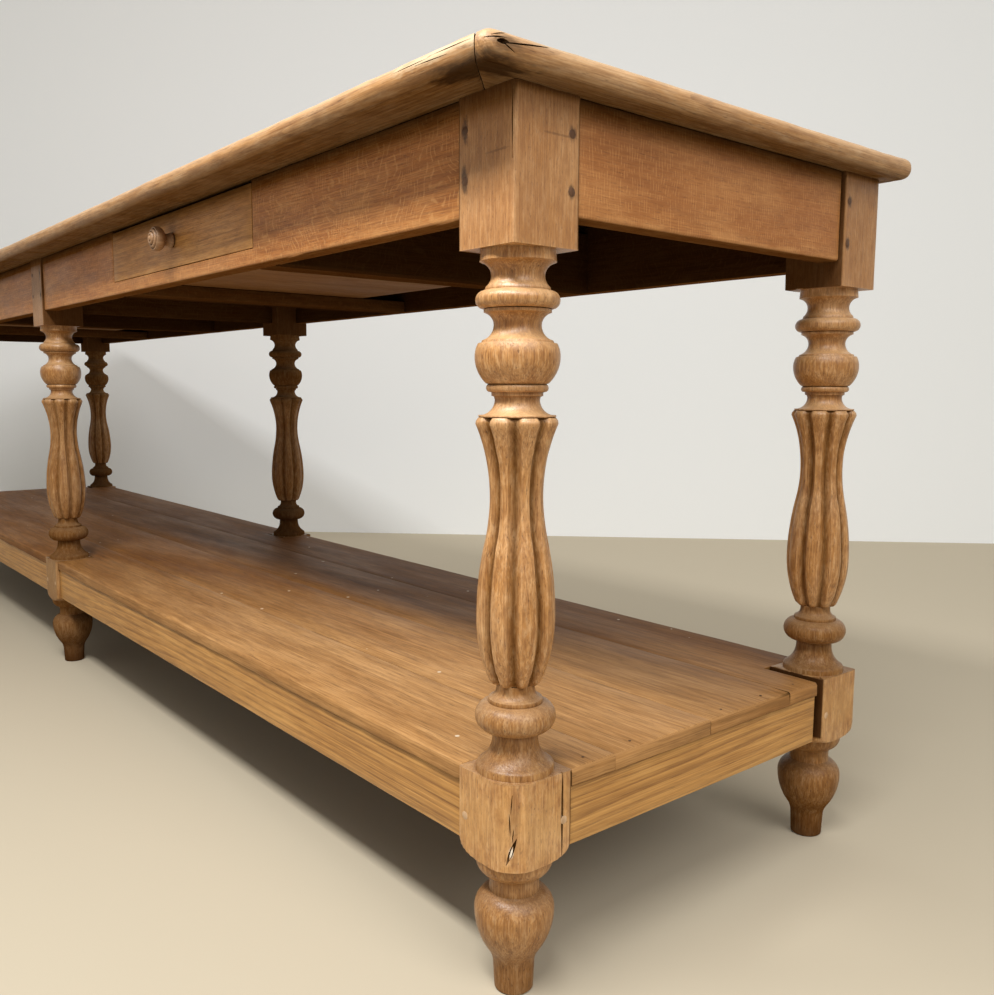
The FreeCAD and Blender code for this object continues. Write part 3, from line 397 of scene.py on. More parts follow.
# Turned posts keep the sun-bleached honey of bare oak, with short flecks up the post and a soft wax shine
# Their upward faces are painted paler, bleached wood and painted highlight together, with dust on the low
# ledges
LEG_WOOD = {"wood": "#C28A4C", "early": "#7A4A22", "pale": "#EEC492", "dirt_and_shade": "#3A200E", "ring": 3.1,
            "pith": (26, 70), "tilt": 1, "figure": 0.2, "fibre": 0.4, "pores": 0.6, "edge": 3, "rub": 0.25,
            "roughness": 0.36, "shine": 0.6, "drawn": 0.5, "highlight_and_dust_height": -95,
            "tint": ("aged", "#AE7A4C", "MIX", 0.45)}
# Feet rub the low blocks paler
LEG_SPOTS = [((-228, 0, 0), (50, 90, 90), "#DBAA68", 0.35)] + PEG_STAINS
LEG_OAK = oak("oak_leg_bare", **LEG_WOOD, spots=LEG_SPOTS)
# The right front leg is scratched on its upper block, and its low block is chipped, with a pale splinter
CHIPPED_LEG_OAK = oak("oak_leg_chipped", **LEG_WOOD, spots=LEG_SPOTS + [
    ((349, -19, -37), (1.3, 19, 5), "#52321A", 0.4), ((365, -37, 14), (1.3, 5, 20), "#52321A", 0.4),
    ((-219, -30, -28), (34, 6, 6), "#6B4522", 0.35), ((-249, -30, -30), (8, 3, 3), "#EFE3CE", 0.95)])
# Upper rails were quarter sawn: red-brown, with pale ray flecks and a rubbed lower arris
RAIL_WOOD = {"early": "#824B22", "pale": "#DCA264", "dirt_and_shade": "#1A0E06", "ring": 3.4,
             "pith": (190, 14), "tilt": 0.6, "figure": 0.2, "pores": 0.3, "cloudy": 0.4, "edge": 8}
RAIL_OAK = oak("oak_rail_quartered", "#C47E3E", **RAIL_WOOD, fibre=0.36, rays=(7, 40, 0.5))
# The end rails show the same rays as a fine upright hatching
END_RAIL_OAK = oak("oak_end_rail_hatched", "#B27239", **RAIL_WOOD, fibre=0.17, rays=(3.6, 7, 0.4))
# Shelf rails were flat sawn: golden, with tall dark arches
SHELF_RAIL_OAK = oak("oak_rail_flat", "#C8924C", "#74461A", "#E0AE68", "#2E1B0C", ring=8, pith=(20, 46),
                     tilt=2.4, figure=0.6, fibre=0.34, drawn=2.5)
# The shelf is trodden and dusty: golden where hands and light reach it, and greyer and darker towards the
# back and the left, dust and painted shade together
SHELF_OAK = oak("oak_shelf_worn", "#B0804B", "#74502C", "#CEA06A", "#2E2012", ring=7, pith=(30, 60), tilt=1.2,
                figure=0.2, fibre=0.38, pores=0.5, cloudy=0.48, edge=2, rub=0.1, roughness=0.55, shine=0.15,
                raised=0.25, drawn=1.8, tint=("dust_and_shade", "#BCA474", "MULTIPLY", 1), paint="#DCCDB4")
# The top is scrubbed: warm tan on its edge and paler on its upward faces, bleached wood and painted highlight
# together
TOP_WOOD = {"wood": "#C08E56", "early": "#764A24", "pale": "#D4B48E", "dirt_and_shade": "#241408", "ring": 6,
            "pith": (60, 40), "tilt": 1.2, "figure": 0.5, "fibre": 0.38, "pores": 0.4, "highlight_and_dust_height": -2000}
TOP_OAK = oak("oak_top_scrubbed", **TOP_WOOD)
# The right cleat has a dead knot by its front corner, a grey upper edge and an old damp stain below
CLEAT_OAK = oak("oak_cleat_knotted", **TOP_WOOD, spots=[
    ((-301, 61, 2), (15, 9, 7), "#64492E", 0.7), ((-305.5, 62, 0.8), (4, 8, 2.2), "#150C06", 0.95),
    ((-180, 57, 11), (190, 8, 5), "#A08868", 0.55), ((-298, 44, -12), (40, 30, 9), "#3A2614", 0.85)])
# The front board shares that stain at its right end, and its nose is bleached there
FRONT_BOARD_OAK = oak("oak_front_board_stained", **TOP_WOOD, spots=[
    ((1380, -54, 6), (90, 9, 9), "#E2CDA8", 0.55), ((1400, -44, -12), (46, 30, 9), "#3A2614", 0.85)])
# Drawer fronts are smoother and a little yellower than the rails
DRAWER_OAK = oak("oak_drawer_plain", "#CE904C", "#8A5A2C", "#DCAA6C", "#20130A", ring=5, pith=(40, 90),
                 tilt=1, figure=0.2, fibre=0.4, edge=3)
# Hidden drawer wood is raw and pale
PALE_OAK = oak("oak_raw_pale", "#A87848", "#7C5430", "#C09664", "#33200F", ring=6, pith=(30, 60),
               roughness=0.7, shine=0.2)
# Knob: close-grained fruitwood, darkened by hands
KNOB_WOOD = oak("pear_knob_handled", "#A07A58", "#805E40", "#C4A27E", "#3A2516", ring=3, pith=(12, 20),
                figure=0.2, pores=0.1)
# Upper pegs: end grain that has gone nearly black
PEG_OAK = oak("oak_peg_end_grain", "#5A3A24", "#38220F", "#7A5536", "#1A0F08", ring=2, pith=(3, 4))
# Shelf pegs: newer, pale wood
NEW_PEG_OAK = oak("oak_peg_pale", "#C9A27A", "#A27B52", "#E0C4A0", "#4A3320", ring=2, pith=(3, 4))


def iron(name):
    """Old cut nails: dark iron with brown rust, dull."""
    material, tree, shader = new_material(name)
    spot = add(tree, "TexCoord", out="Object")
    rust = add(tree, "TexNoise", spot, 1 / (3 * MM), 3)
    colour = add(tree, "Mix", rust, linear("#2A211C"), linear("#5A3A26"), data_type="RGBA")
    tree.links.new(colour, shader.inputs["Base Color"])
    shader.inputs["Metallic"].default_value = 0.6
    shader.inputs["Roughness"].default_value = 0.6
    return material


NAIL_IRON = iron("iron_nail_rusted")

SEEDS = iter((number * 0.6180339887) % 1 for number in range(1, 200))


def board(node, low, high, run, material, arris=1.6, cell=22, soil_and_shade_of=None, shape=None, uneven=0.9, worn=None):
    """One squared board for one solid node; shape() may cut or extrude it before its arrises are eased,
    and the edges that worn() picks are rounded more than the rest.
    """
    plank_blank(low, high, run, cell)
    if shape:
        shape()
    if worn:
        pick("EDGE", worn)
        bpy.ops.mesh.bevel(offset=3.5 * MM, segments=3, affect="EDGES")
    ease_arrises(arris)
    piece = done()
    wear_down(piece, uneven, 70)
    mark_grain(piece, run, next(SEEDS), soil_and_shade_of)
    return dress(piece, node, material)


def extents(node, axis=0, inset=0):
    """A node's box in millimetres, shortened at both ends along one axis."""
    low, high = (list(corner / MM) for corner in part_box(node))
    low[axis] += inset
    high[axis] -= inset
    return low, high


# Legs

COLUMNS = 128
COLUMN_STEP = 360 / COLUMNS
# An eighth of the section runs from column 0, on a face, to this one, on an arris
LAST = COLUMNS // 8
# Radius of the gouge, and how far the arrises of the blocks are rubbed back
FLUTE = 5.7
RUBBED = 1.1


def bow(begin, end, upright, steps):
    """Points along an arc of a turned profile that stands upright at its start or at its end."""
    still, other = (begin, end) if upright == "start" else (end, begin)
    run = other[0] - still[0]
    radius = (run ** 2 + (other[1] - still[1]) ** 2) / (2 * abs(run))
    centre = (still[0] + math.copysign(radius, run), still[1])
    first, last = (math.atan2(point[1] - centre[1], point[0] - centre[0]) for point in (begin, end))
    sweep = (last - first + math.pi) % (2 * math.pi) - math.pi
    turns = [first + sweep * number / steps for number in range(1, steps + 1)]
    return [(centre[0] + radius * math.cos(turn), centre[1] + radius * math.sin(turn)) for turn in turns]


def profile(points, spacing=2.2, straight=12):
    """Turn a list of (radius, height), with the upright end where it bends, into closely set rings."""
    rings = [points[0]]
    for radius, height, *upright in points[1:]:
        begin, end = rings[-1], (radius, height)
        reach = math.dist(begin, end)
        if upright:
            rings += bow(begin, end, *upright, max(2, round(reach / spacing)))
        else:
            steps = max(1, round(reach / straight))
            rings += [(begin[0] + (end[0] - begin[0]) * number / steps,
                       begin[1] + (end[1] - begin[1]) * number / steps) for number in range(1, steps + 1)]
    return rings


def fold(point):
    """Which column of an eighth of the section a point stands on."""
    angle = math.degrees(math.atan2(abs(point.y), abs(point.x)))
    return round(min(angle, 90 - angle) / COLUMN_STEP)


def round_section(radius):
    return [radius] * (LAST + 1)


def square_section(radius):
    """The block's square, its arrises rubbed round, or the turning where that is smaller."""
    section = []
    for column in range(LAST + 1):
        side = HALF_BLOCK / math.cos(math.radians(column * COLUMN_STEP))
        section.append(min(radius, side if column < LAST else side - RUBBED))
    return section


def lobed_section(radius):
    """Eight lobes with gouged flutes between them."""
    centre = radius + 0.5
    section = []
    for column in range(LAST + 1):
        angle = math.radians(min(column, LAST - column) * COLUMN_STEP)
        across = centre * math.sin(angle)
        crown = radius - 14 * (math.radians(22.5) - angle) ** 2
        flute = centre * math.cos(angle) - math.sqrt(FLUTE ** 2 - across ** 2) if across < FLUTE else crown
        section.append(min(crown, flute))
    return section


FOOT = profile([(16.6, 0), (18.2, 1.4), (19.4, 24), (24.6, 40, "start"), (37.3, 79, "end"),
                (24.4, 97.4, "start"), (23.6, 98), (23.2, 104), (23.4, 112), (24.4, 113.4),
                (36, 128, "end"), (36, 130.6)])
SHOULDER = [(39, 131), (42, 131.8), (45, 133.2), (47.6, 135.2), (49.6, 138), (50.8, 141.4)]
# Beyond its corners, so that the block is square, and just inside them, so that its end is eased
FULL_SQUARE = 60
BLOCK_END = 51.5
LOW_BLOCK = [(FULL_SQUARE, height) for height in (145, 156, 168, 180, 192, 204, 211.4)]
LOW_TURNING = profile([(36.4, SHELF), (35.8, 213), (35.6, 218), (34.8, 219.4),
                       (33, 220.6), (21, 243, "end"), (20.8, 246.6), (20, 248.4), (22.4, 249.2),
                       (36.8, 263, "end"), (26.6, 275.6, "start"), (24.6, 276), (24.8, 277.2),
                       (24.4, 279.4), (17.5, 288.5, "end"), (17.5, 292.5)])
LOBES = profile([(21.5, 293.2), (24, 295.6), (25.4, 298.6), (36.4, 352.98, "end"),
                 (28.4, 424.26, "start"), (24.4, 462.96, "end"), (37.4, 526, "start"), (37, 528.6),
                 (34.8, 531.6)], spacing=5)
HIGH_TURNING = profile([(33.4, 531.8), (34.4, 532.6), (34.2, 533.6), (19.8, 547, "end"),
                        (20.4, 549.6), (22.6, 550.4), (22.8, 553.4), (25.6, 554),
                        (27.4, 557, "end"), (26.4, 559.8, "start"), (25.4, 560.4), (27.6, 561.2),
                        (37.4, 584, "end"), (34.6, 595.4, "start"), (31.8, 596), (31, 598),
                        (21, 611, "end"), (28.4, 621.4, "start"), (29.6, 621.8), (29.6, 624.4),
                        (28, 625), (37, 632, "end"), (30.4, 640.2, "start"), (28.8, 640.6),
                        (28.2, 643.2), (23.5, 653, "end"), (31.6, 664, "start"), (33.4, 664.6),
                        (32.6, 673.4)])
HIGH_BLOCK = [(FULL_SQUARE, height) for height in (675.2, 690, 706, 722, 738, 754, 770, 778, 786, 792, 798.8)]


def raise_ring(before, after, climb):
    """Extrude the open face upwards and pull each column of its rim to its new radius."""
    pull(0, 0, climb)
    stretch = [round(new / old, 6) for new, old in zip(after, before)]
    if len(set(stretch)) == 1:
        bpy.ops.transform.resize(value=(stretch[0], stretch[0], 1), center_override=(0, 0, 0))
        return
    data = bpy.context.object.data
    bpy.ops.mesh.select_mode(type="VERT")
    rim = [point.index for point in bmesh.from_edit_mesh(data).verts if point.select]
    for factor in set(stretch):
        mesh = bmesh.from_edit_mesh(data)
        mesh.verts.ensure_lookup_table()
        bpy.ops.mesh.select_all(action="DESELECT")
        for number in rim:
            mesh.verts[number].select_set(stretch[fold(mesh.verts[number].co)] == factor)
        mesh.select_flush_mode()
        bpy.ops.transform.resize(value=(factor, factor, 1), center_override=(0, 0, 0))
    mesh = bmesh.from_edit_mesh(data)
    mesh.verts.ensure_lookup_table()
    for number in rim:
        mesh.verts[number].select_set(True)
    mesh.select_flush_mode()
    bpy.ops.mesh.select_mode(type="FACE")


def turn_up(stages):
    """Raise a closed turning from (rings, section) stages, foot first."""
    rings = [(radius, height, section) for points, section in stages for radius, height in points]
    first = rings[0]
    start("circle", vertices=COLUMNS, radius=first[0] * MM, fill_type="NGON", location=(0, 0, first[1] * MM))
    bpy.ops.mesh.select_mode(type="FACE")
    bpy.ops.mesh.select_all(action="SELECT")
    before = first[2](first[0])
    for (radius, height, section), below in zip(rings[1:], rings):
        after = section(radius)
        raise_ring(before, after, height - below[1])
        before = after
    bpy.ops.mesh.select_all(action="SELECT")
    bpy.ops.mesh.normals_make_consistent(inside=False)
    return done()


def round_corner(side_x, side_y, reach):
    """Wear the outer corner of the low block back to a round of this reach from the leg's axis."""
    bpy.ops.object.mode_set(mode="EDIT")
    foot, head = SHOULDER[0][1] - 0.5, SHELF + 0.1
    span_of = lambda point: round(math.hypot(point.co.x, point.co.y) / MM, 2)
    worn = lambda point: (foot < point.co.z / MM < head and point.co.x * side_x > 0
                          and point.co.y * side_y > 0 and span_of(point) > reach)
    mesh = bmesh.from_edit_mesh(bpy.context.object.data)
    for radius in sorted({span_of(point) for point in mesh.verts if worn(point)}):
        pick("VERT", lambda point: worn(point) and span_of(point) == radius)
        bpy.ops.transform.resize(value=(reach / radius, reach / radius, 1), center_override=(0, 0, 0))
    return done()


def sliver(place, size, lean, facing, cuts, shares):
    """A slender upright block, drawn in to these shares at heights from its middle. Its size is depth, width
    and length in millimetres; it leans from upright and faces a way round the vertical, in degrees.
    """
    start("cube", size=1, scale=Vector(size) * MM)
    pick("EDGE", runs_along(2))
    bpy.ops.mesh.subdivide(number_cuts=cuts)
    for height, share in shares:
        level = height * size[2] * MM
        pick("VERT", lambda point: abs(point.co.z - level) < MM / 10)
        bpy.ops.transform.resize(value=(share, share, 1), center_override=(0, 0, level))
    piece = done()
    put(piece, *(part * MM for part in place), turn=(lean, 0, facing))
    return piece


def split(piece, place, size, lean, facing):
    """Open a drying split: a thin wedge, sharp at both ends, cut out of the wood."""
    cutter = sliver(place, size, lean, facing, 4, ((-0.5, 0.1), (-0.3, 0.6), (0.3, 0.75), (0.5, 0.15)))
    only(piece)
    modifier = piece.modifiers.new("split", "BOOLEAN")
    modifier.object = cutter
    modifier.operation = "DIFFERENCE"
    modifier.solver = "EXACT"
    bpy.ops.object.modifier_apply(modifier=modifier.name)
    bpy.data.objects.remove(cutter)


WORN_CORNER = 41
# Splits of the right front leg: place from its axis and the floor, size, lean and facing. The first two run
# beside the end rail and along the arris of the upper block, and the rest chip the corner of the low block.
LEG_SPLITS = [((37, 25, 172), (14, 2.6, 92), 0, 0), ((34.2, -37, 768), (1.2, 5, 56), 0, 0),
              ((29, -29, 151), (9, 3.8, 27), -20, -45), ((29.3, -29.3, 195), (3.8, 0.9, 18), -4, -45),
              ((28.2, -30.2, 176), (3.8, 1.1, 22), 3, -45), ((30.2, -28.2, 166), (3.8, 0.9, 14), -7, -45)]
# A splinter of pale wood still stands in the third one, tapered to both ends
SPLINTER = ((28.7, -28.7, 150.5), (1.7, 1.7, 13), -14, -45, 2, ((-0.5, 0.2), (0.5, 0.2)))


def legs():
    """All six legs from one turning; at the front corners the low block's outer corner is worn round."""
    high_block = [(BLOCK_END, HIGH_BLOCK_FOOT)] + HIGH_BLOCK + [(BLOCK_END, UNDERSIDE)]
    pattern = turn_up([(FOOT, round_section), (SHOULDER + LOW_BLOCK + [(BLOCK_END, SHELF)], square_section),
                       (LOW_TURNING, round_section), (LOBES, lobed_section), (HIGH_TURNING, round_section),
                       ([(33, HIGH_BLOCK_FOOT)], round_section), (high_block, square_section)])
    for row, y in LEG_Y.items():
        for column, x in LEG_X.items():
            piece = again(pattern)
            inward = (-1 if x > 0 else 1, 1 if y < 0 else -1)
            if row == "front" and column != "middle":
                round_corner(-inward[0], -inward[1], WORN_CORNER)
            put(piece, x * MM, y * MM)
            wear_down(piece, 0.8, 45)
            chipped = (row, column) == ("front", "right")
            if chipped:
                axis = Vector((x, y, 0))
                for place, *rest in LEG_SPLITS:
                    split(piece, axis + Vector(place), *rest)
                place, *rest = SPLINTER
                piece = join([piece, sliver(axis + Vector(place), *rest)])
            node = f"leg_{row}_{column}"
            mark_post(piece, x * MM, y * MM, inward, next(SEEDS))
            dress(piece, node, CHIPPED_LEG_OAK if chipped else LEG_OAK, smooth=40)
    bpy.data.objects.remove(pattern)


def mark_post(piece, x, y, inward, seed):
    """A leg's grain runs up it; its other two places grow towards the middle of the table."""
    points = points_of(piece)
    height = points[:, 2]
    inner = (points - (x, y, UNDERSIDE / 2 * MM)) * (*inward, 1)
    write(piece, "grain", "FLOAT_VECTOR", inner[:, [2, 0, 1]])
    half = HALF_BLOCK * MM
    write(piece, "board", "FLOAT_VECTOR", np.tile([half, half, seed], (len(points), 1)))
    # Painted shade on the faces of both blocks that look into the table
    face = half - 0.0015
    hidden = np.maximum(inner[:, 0], inner[:, 1]) > face
    high = height > HIGH_BLOCK_FOOT * MM
    low_slot = (inner[:, 1] > face) & (height < SHELF * MM) & (height > 0.14)
    # Old polish and dirt lie in the flutes; the feet darken towards the floor, and the turnings between the
    # shelf and the lobes are darker too
    eighth = math.pi / 4
    turn = (np.arctan2(inner[:, 1], inner[:, 0]) + eighth / 2) % eighth - eighth / 2
    across = abs(np.hypot(inner[:, 0], inner[:, 1]) * np.sin(turn))
    lobes_foot, lobes_head = 0.2945, 0.5315
    lobed = (height > lobes_foot) & (height < lobes_head)
    flute = lobed * (0.72 if x > 1 else 0.5) * np.clip(1.05 - across / (FLUTE * MM), 0, 1)
    low_darkening = 0.24 * (height < 0.129) + 0.3 * np.clip(1 - height / 0.08, 0, 1)
    low_darkening += 0.28 * ((height > SHELF * MM) & (height < lobes_foot))
    # Painted shade: left and middle legs are darker, in front up to the top of the lobes, behind right up to
    # the rails, and back legs are darker again, most low down
    upper = np.clip((height - 0.5) / 0.05, 0, 1)
    painted_leg_shade = (0.32 + 0.3 * upper if y > 0 else 0.42 - 0.2 * upper) * (x < 1) + (0.1 + low_darkening * 0.4) * (y > 0)
    # Painted shade under the top: deep on the faces that look to the front, faint on the others
    front = inner[:, 1] < -half + 0.002
    close = np.where(front, shade_and_joint_under_top(points), shade_and_joint_under_top(points, 0.2))
    write(piece, "soil_and_shade", "FLOAT", np.maximum.reduce([
        hidden * high * 0.85, low_slot * 0.95, flute + painted_leg_shade * 0.5, low_darkening + painted_leg_shade, close]))
    write(piece, "aged", "FLOAT", high * 1.0)


# Rails, drawers, shelf and top


def notch_up(left, right, foot, head):
    """Extrude the top faces outside a gap up to a board's head."""
    def shape():
        for edge in (left, right):
            cut((edge * MM, 0, 0), (1, 0, 0))
        gap = lambda face: left * MM < face.calc_center_median().x < right * MM
        for climb in (0.45, 0.2, 0.2, 0.15):
            pick("FACE", lambda face: face.normal.z > 0.9 and not gap(face))
            pull(0, 0, (head - foot) * climb)
    return shape


def evenly(amount):
    """The same darkening all over."""
    return lambda points: np.full(len(points), amount)


def shade_and_joint_under_top(points, most=0.72):
    """Painted shade that deepens close under the top, and a dark line in the joint itself."""
    height = points[:, 2]
    return np.maximum(most * np.clip((height - 0.775) / 0.015, 0, 1), 0.85 * (height > 0.797))


def painted_shade_inside(axis, face, outward, close=0.72):
    """Painted shade on the sides of a rail that look into the table or down, and close under the top."""
    def soil_and_shade_of(points):
        inside = (outward * (points[:, axis] / MM - face) < -1.0) * 0.93
        below = (points[:, 2] / MM < RAIL_FOOT + 0.7) * 0.7
        return np.maximum.reduce([inside, below, shade_and_joint_under_top(points, close)])
    return soil_and_shade_of


def low_arris(axis, outward):
    """The outer lower edge of an upper rail, rubbed round by knees."""
    def worn(edge):
        middle = (edge.verts[0].co + edge.verts[1].co) / 2
        faces = [face.normal for face in edge.link_faces]
        outer = any(outward * normal[axis] > 0.9 for normal in faces)
        return outer and any(normal.z < -0.9 for normal in faces) and middle.z < (RAIL_FOOT + 1) * MM
    return worn


def upper_rails():
    for bay, centre in BAYS.items():
        node = f"front_rail_{bay}"
        low, high = extents(node, 0, TENON - 1)
        sill = RAIL_FOOT + 20
        gap = (centre - 248.5, centre + 248.5)
        board(node, low, (high[0], high[1], sill), 0, RAIL_OAK, shape=notch_up(*gap, sill, UNDERSIDE),
              soil_and_shade_of=painted_shade_inside(1, high[1] - 2, -1), worn=low_arris(1, -1))
        node = f"back_rail_{bay}"
        low, high = extents(node, 0, TENON - 1)
        board(node, low, high, 0, RAIL_OAK, soil_and_shade_of=painted_shade_inside(1, low[1] + 2, 1), worn=low_arris(1, 1))
    for end, outward in (("right", 1), ("left", -1)):
        node = f"end_rail_{end}"
        low, high = extents(node, 1, TENON - 1)
        # The back end has shrunk away from its leg
        high[1] -= 2.5
        board(node, low, high, 1, END_RAIL_OAK, worn=low_arris(0, outward),
              soil_and_shade_of=painted_shade_inside(0, low[0] + 2 if outward > 0 else high[0] - 2, outward, close=0.4))
    # The middle rail stands in the dark under the top and is darkened all over: painted shade
    low, high = extents("middle_rail", 1, TENON - 1)
    board("middle_rail", low, high, 1, RAIL_OAK, soil_and_shade_of=evenly(0.9))


def bearers():
    # Bearers and runners stand in the dark under the top and are darkened all over: painted shade
    for bay in BAYS:
        for side in ("right", "left"):
            for part, amount in (("bearer", 0.93), ("runner", 0.84)):
                node = f"drawer_{part}_{bay}_bay_{side}"
                board(node, *extents(node), 1, RAIL_OAK, soil_and_shade_of=evenly(amount))


KNOB = profile([(7, -19), (7, 0), (9.4, 0.2), (10, 1), (10, 3.4), (8, 10, "end"),
                (8.4, 12.6), (10.2, 13.2), (16.5, 22, "end"), (15.2, 27, "start"), (14.2, 27.2),
                (13.4, 26.6), (12.6, 27.4), (10.6, 29.6, "start"), (9.8, 29.6), (9, 28.9),
                (8.2, 29.8), (5, 31.8, "start"), (4.2, 31.2), (3, 32.4), (1, 33)], spacing=1)


def drawers():
    pattern = turn_up([(KNOB, round_section)])
    for side, centre in BAYS.items():
        name = f"drawer_{side}"
        low, high = extents(f"{name}_front")
        # The front has shrunk, which leaves a dark gap above it
        high[2] -= 2.5
        # It is darkened close under the top: painted shade
        board(f"{name}_front", low, high, 0, DRAWER_OAK, arris=1.2, soil_and_shade_of=shade_and_joint_under_top)
        for part, run, wood in (("side_right", 1, DRAWER_OAK), ("side_left", 1, DRAWER_OAK),
                                ("back", 0, DRAWER_OAK), ("bottom", 1, PALE_OAK)):
            node = f"{name}_{part}"
            board(node, *extents(node), run, wood, arris=0.8, uneven=0.2, soil_and_shade_of=evenly(0.35))
        knob = again(pattern)
        low, high = extents(f"{name}_knob")
        put(knob, centre * MM, (high[1] - 20) * MM, (low[2] + high[2]) / 2 * MM, turn=(90, 0, 0))
        mark_grain(knob, 1, next(SEEDS))
        dress(knob, f"{name}_knob", KNOB_WOOD)
    bpy.data.objects.remove(pattern)


def outer_edge(edge):
    """The upper edges round the shelf, worn by feet and bolts of cloth."""
    faces = [face.normal for face in edge.link_faces]
    middle = (edge.verts[0].co + edge.verts[1].co) / 2
    outer = abs(middle.x) > 1.41 or not LEG_Y["front"] * MM < middle.y < LEG_Y["back"] * MM
    return outer and any(normal.z > 0.9 for normal in faces) and any(abs(normal.z) < 0.1 for normal in faces)


# The shelf clears the sides of the legs by this much, in millimetres
LEG_PLAY = 0.2


def reach_between(row, depth):
    """Extrude the outer faces of a shelf edge board between the legs."""
    outward = -1 if row == "front" else 1

    def shape():
        near, far = HALF_BLOCK + LEG_PLAY, LEG_X["right"] - HALF_BLOCK - LEG_PLAY
        for edge in (-far, -near, near, far):
            cut((edge * MM, 0, 0), (1, 0, 0))
        off = lambda face: abs(face.calc_center_median().x) / MM
        for share in (0.5, 0.5):
            pick("FACE", lambda face: outward * face.normal.y > 0.9 and near < off(face) < far)
            pull(0, outward * depth * share, 0)
        if row == "back":
            pick("FACE", lambda face: face.normal.y > 0.9 and off(face) < near)
            pull(0, BACK_GAP - LEG_PLAY, 0)
    return shape


def shelf():
    # The edges that stand out lie beyond the first two of these, and the end faces beyond the last
    front_edge, right_edge, end_face = -259, 1413, 1415.5
    for number in (1, 2, 3, 4):
        node = f"shelf_board_{number}"
        low, high = extents(node, 0, 3)
        if number == 1:
            inner = LEG_Y["front"] + HALF_BLOCK + LEG_PLAY
            shape = reach_between("front", inner - low[1] - 1.5)
            low[1] = inner
        elif number == 4:
            inner = LEG_Y["back"] - HALF_BLOCK - BACK_GAP
            shape = reach_between("back", high[1] - inner)
            high[1] = inner
        else:
            shape = None
        # The boards' undersides are darkened: painted shade
        piece = board(node, low, high, 0, SHELF_OAK, shape=shape, arris=0.5, worn=outer_edge, cell=9,
                      soil_and_shade_of=lambda points: (points[:, 2] / MM < SHELF - 15.7) * 0.8)
        # Feet have nicked the edges that stand out
        wear_down(piece, 2.6, 13, lambda point: point.y / MM < front_edge or point.x / MM > right_edge)
        points = points_of(piece)
        # The end faces are streaked from side to side
        grain = piece.data.attributes["grain"].data
        for end in np.flatnonzero(abs(points[:, 0]) / MM > end_face):
            along, across, deep = grain[end].vector
            grain[end].vector = (across, 0.3 + deep, along)
        # Dust and painted shade grow towards the back and the left
        write(piece, "dust_and_shade", "FLOAT", np.clip((points[:, 1] + 0.05) / 0.3 + 1.45 - 1.2 * points[:, 0], 0, 1))
    for bay in BAYS:
        for row in ("front", "back"):
            node = f"shelf_{row}_rail_{bay}"
            low, high = extents(node, 0, TENON - 1)
            if row == "front":
                low[1] -= 3
            board(node, low, high, 0, SHELF_RAIL_OAK)
    for node in ("shelf_end_rail_right", "shelf_end_rail_left", "shelf_middle_rail"):
        low, high = extents(node, 1, TENON - 1)
        if node != "shelf_middle_rail":
            high[1] -= BACK_GAP
        board(node, low, high, 1, SHELF_RAIL_OAK)


# Splits of the top, by node: place, size, lean and facing
TOP_SPLITS = {
    "top_cleat_right": [
        ((1445, -305.5, 812.4), (9, 4, 12), 96, 0), ((1445, -279, 815.6), (14, 1.4, 66), 99, 0),
        ((1442, -311, 814.6), (16, 1.2, 19), 97, 0), ((1442, -307, 818.2), (14, 1.0, 17), 107, 0),
        ((1445, -299.5, 809.4), (9, 1.0, 15), 70, 0)],
    "top_front_board": [
        ((1400, -321, 816.4), (14, 1.0, 48), 91, 90), ((1376, -322, 812.6), (14, 0.9, 44), 92, 90),
        ((1345, -321, 815.4), (14, 0.9, 52), 90, 90)]}


def square_to(axis, place, way):
    """A plane square to an axis, and the way that its normal points."""
    point, normal = Vector(), Vector()
    point[axis] = place
    normal[axis] = way
    return point, normal


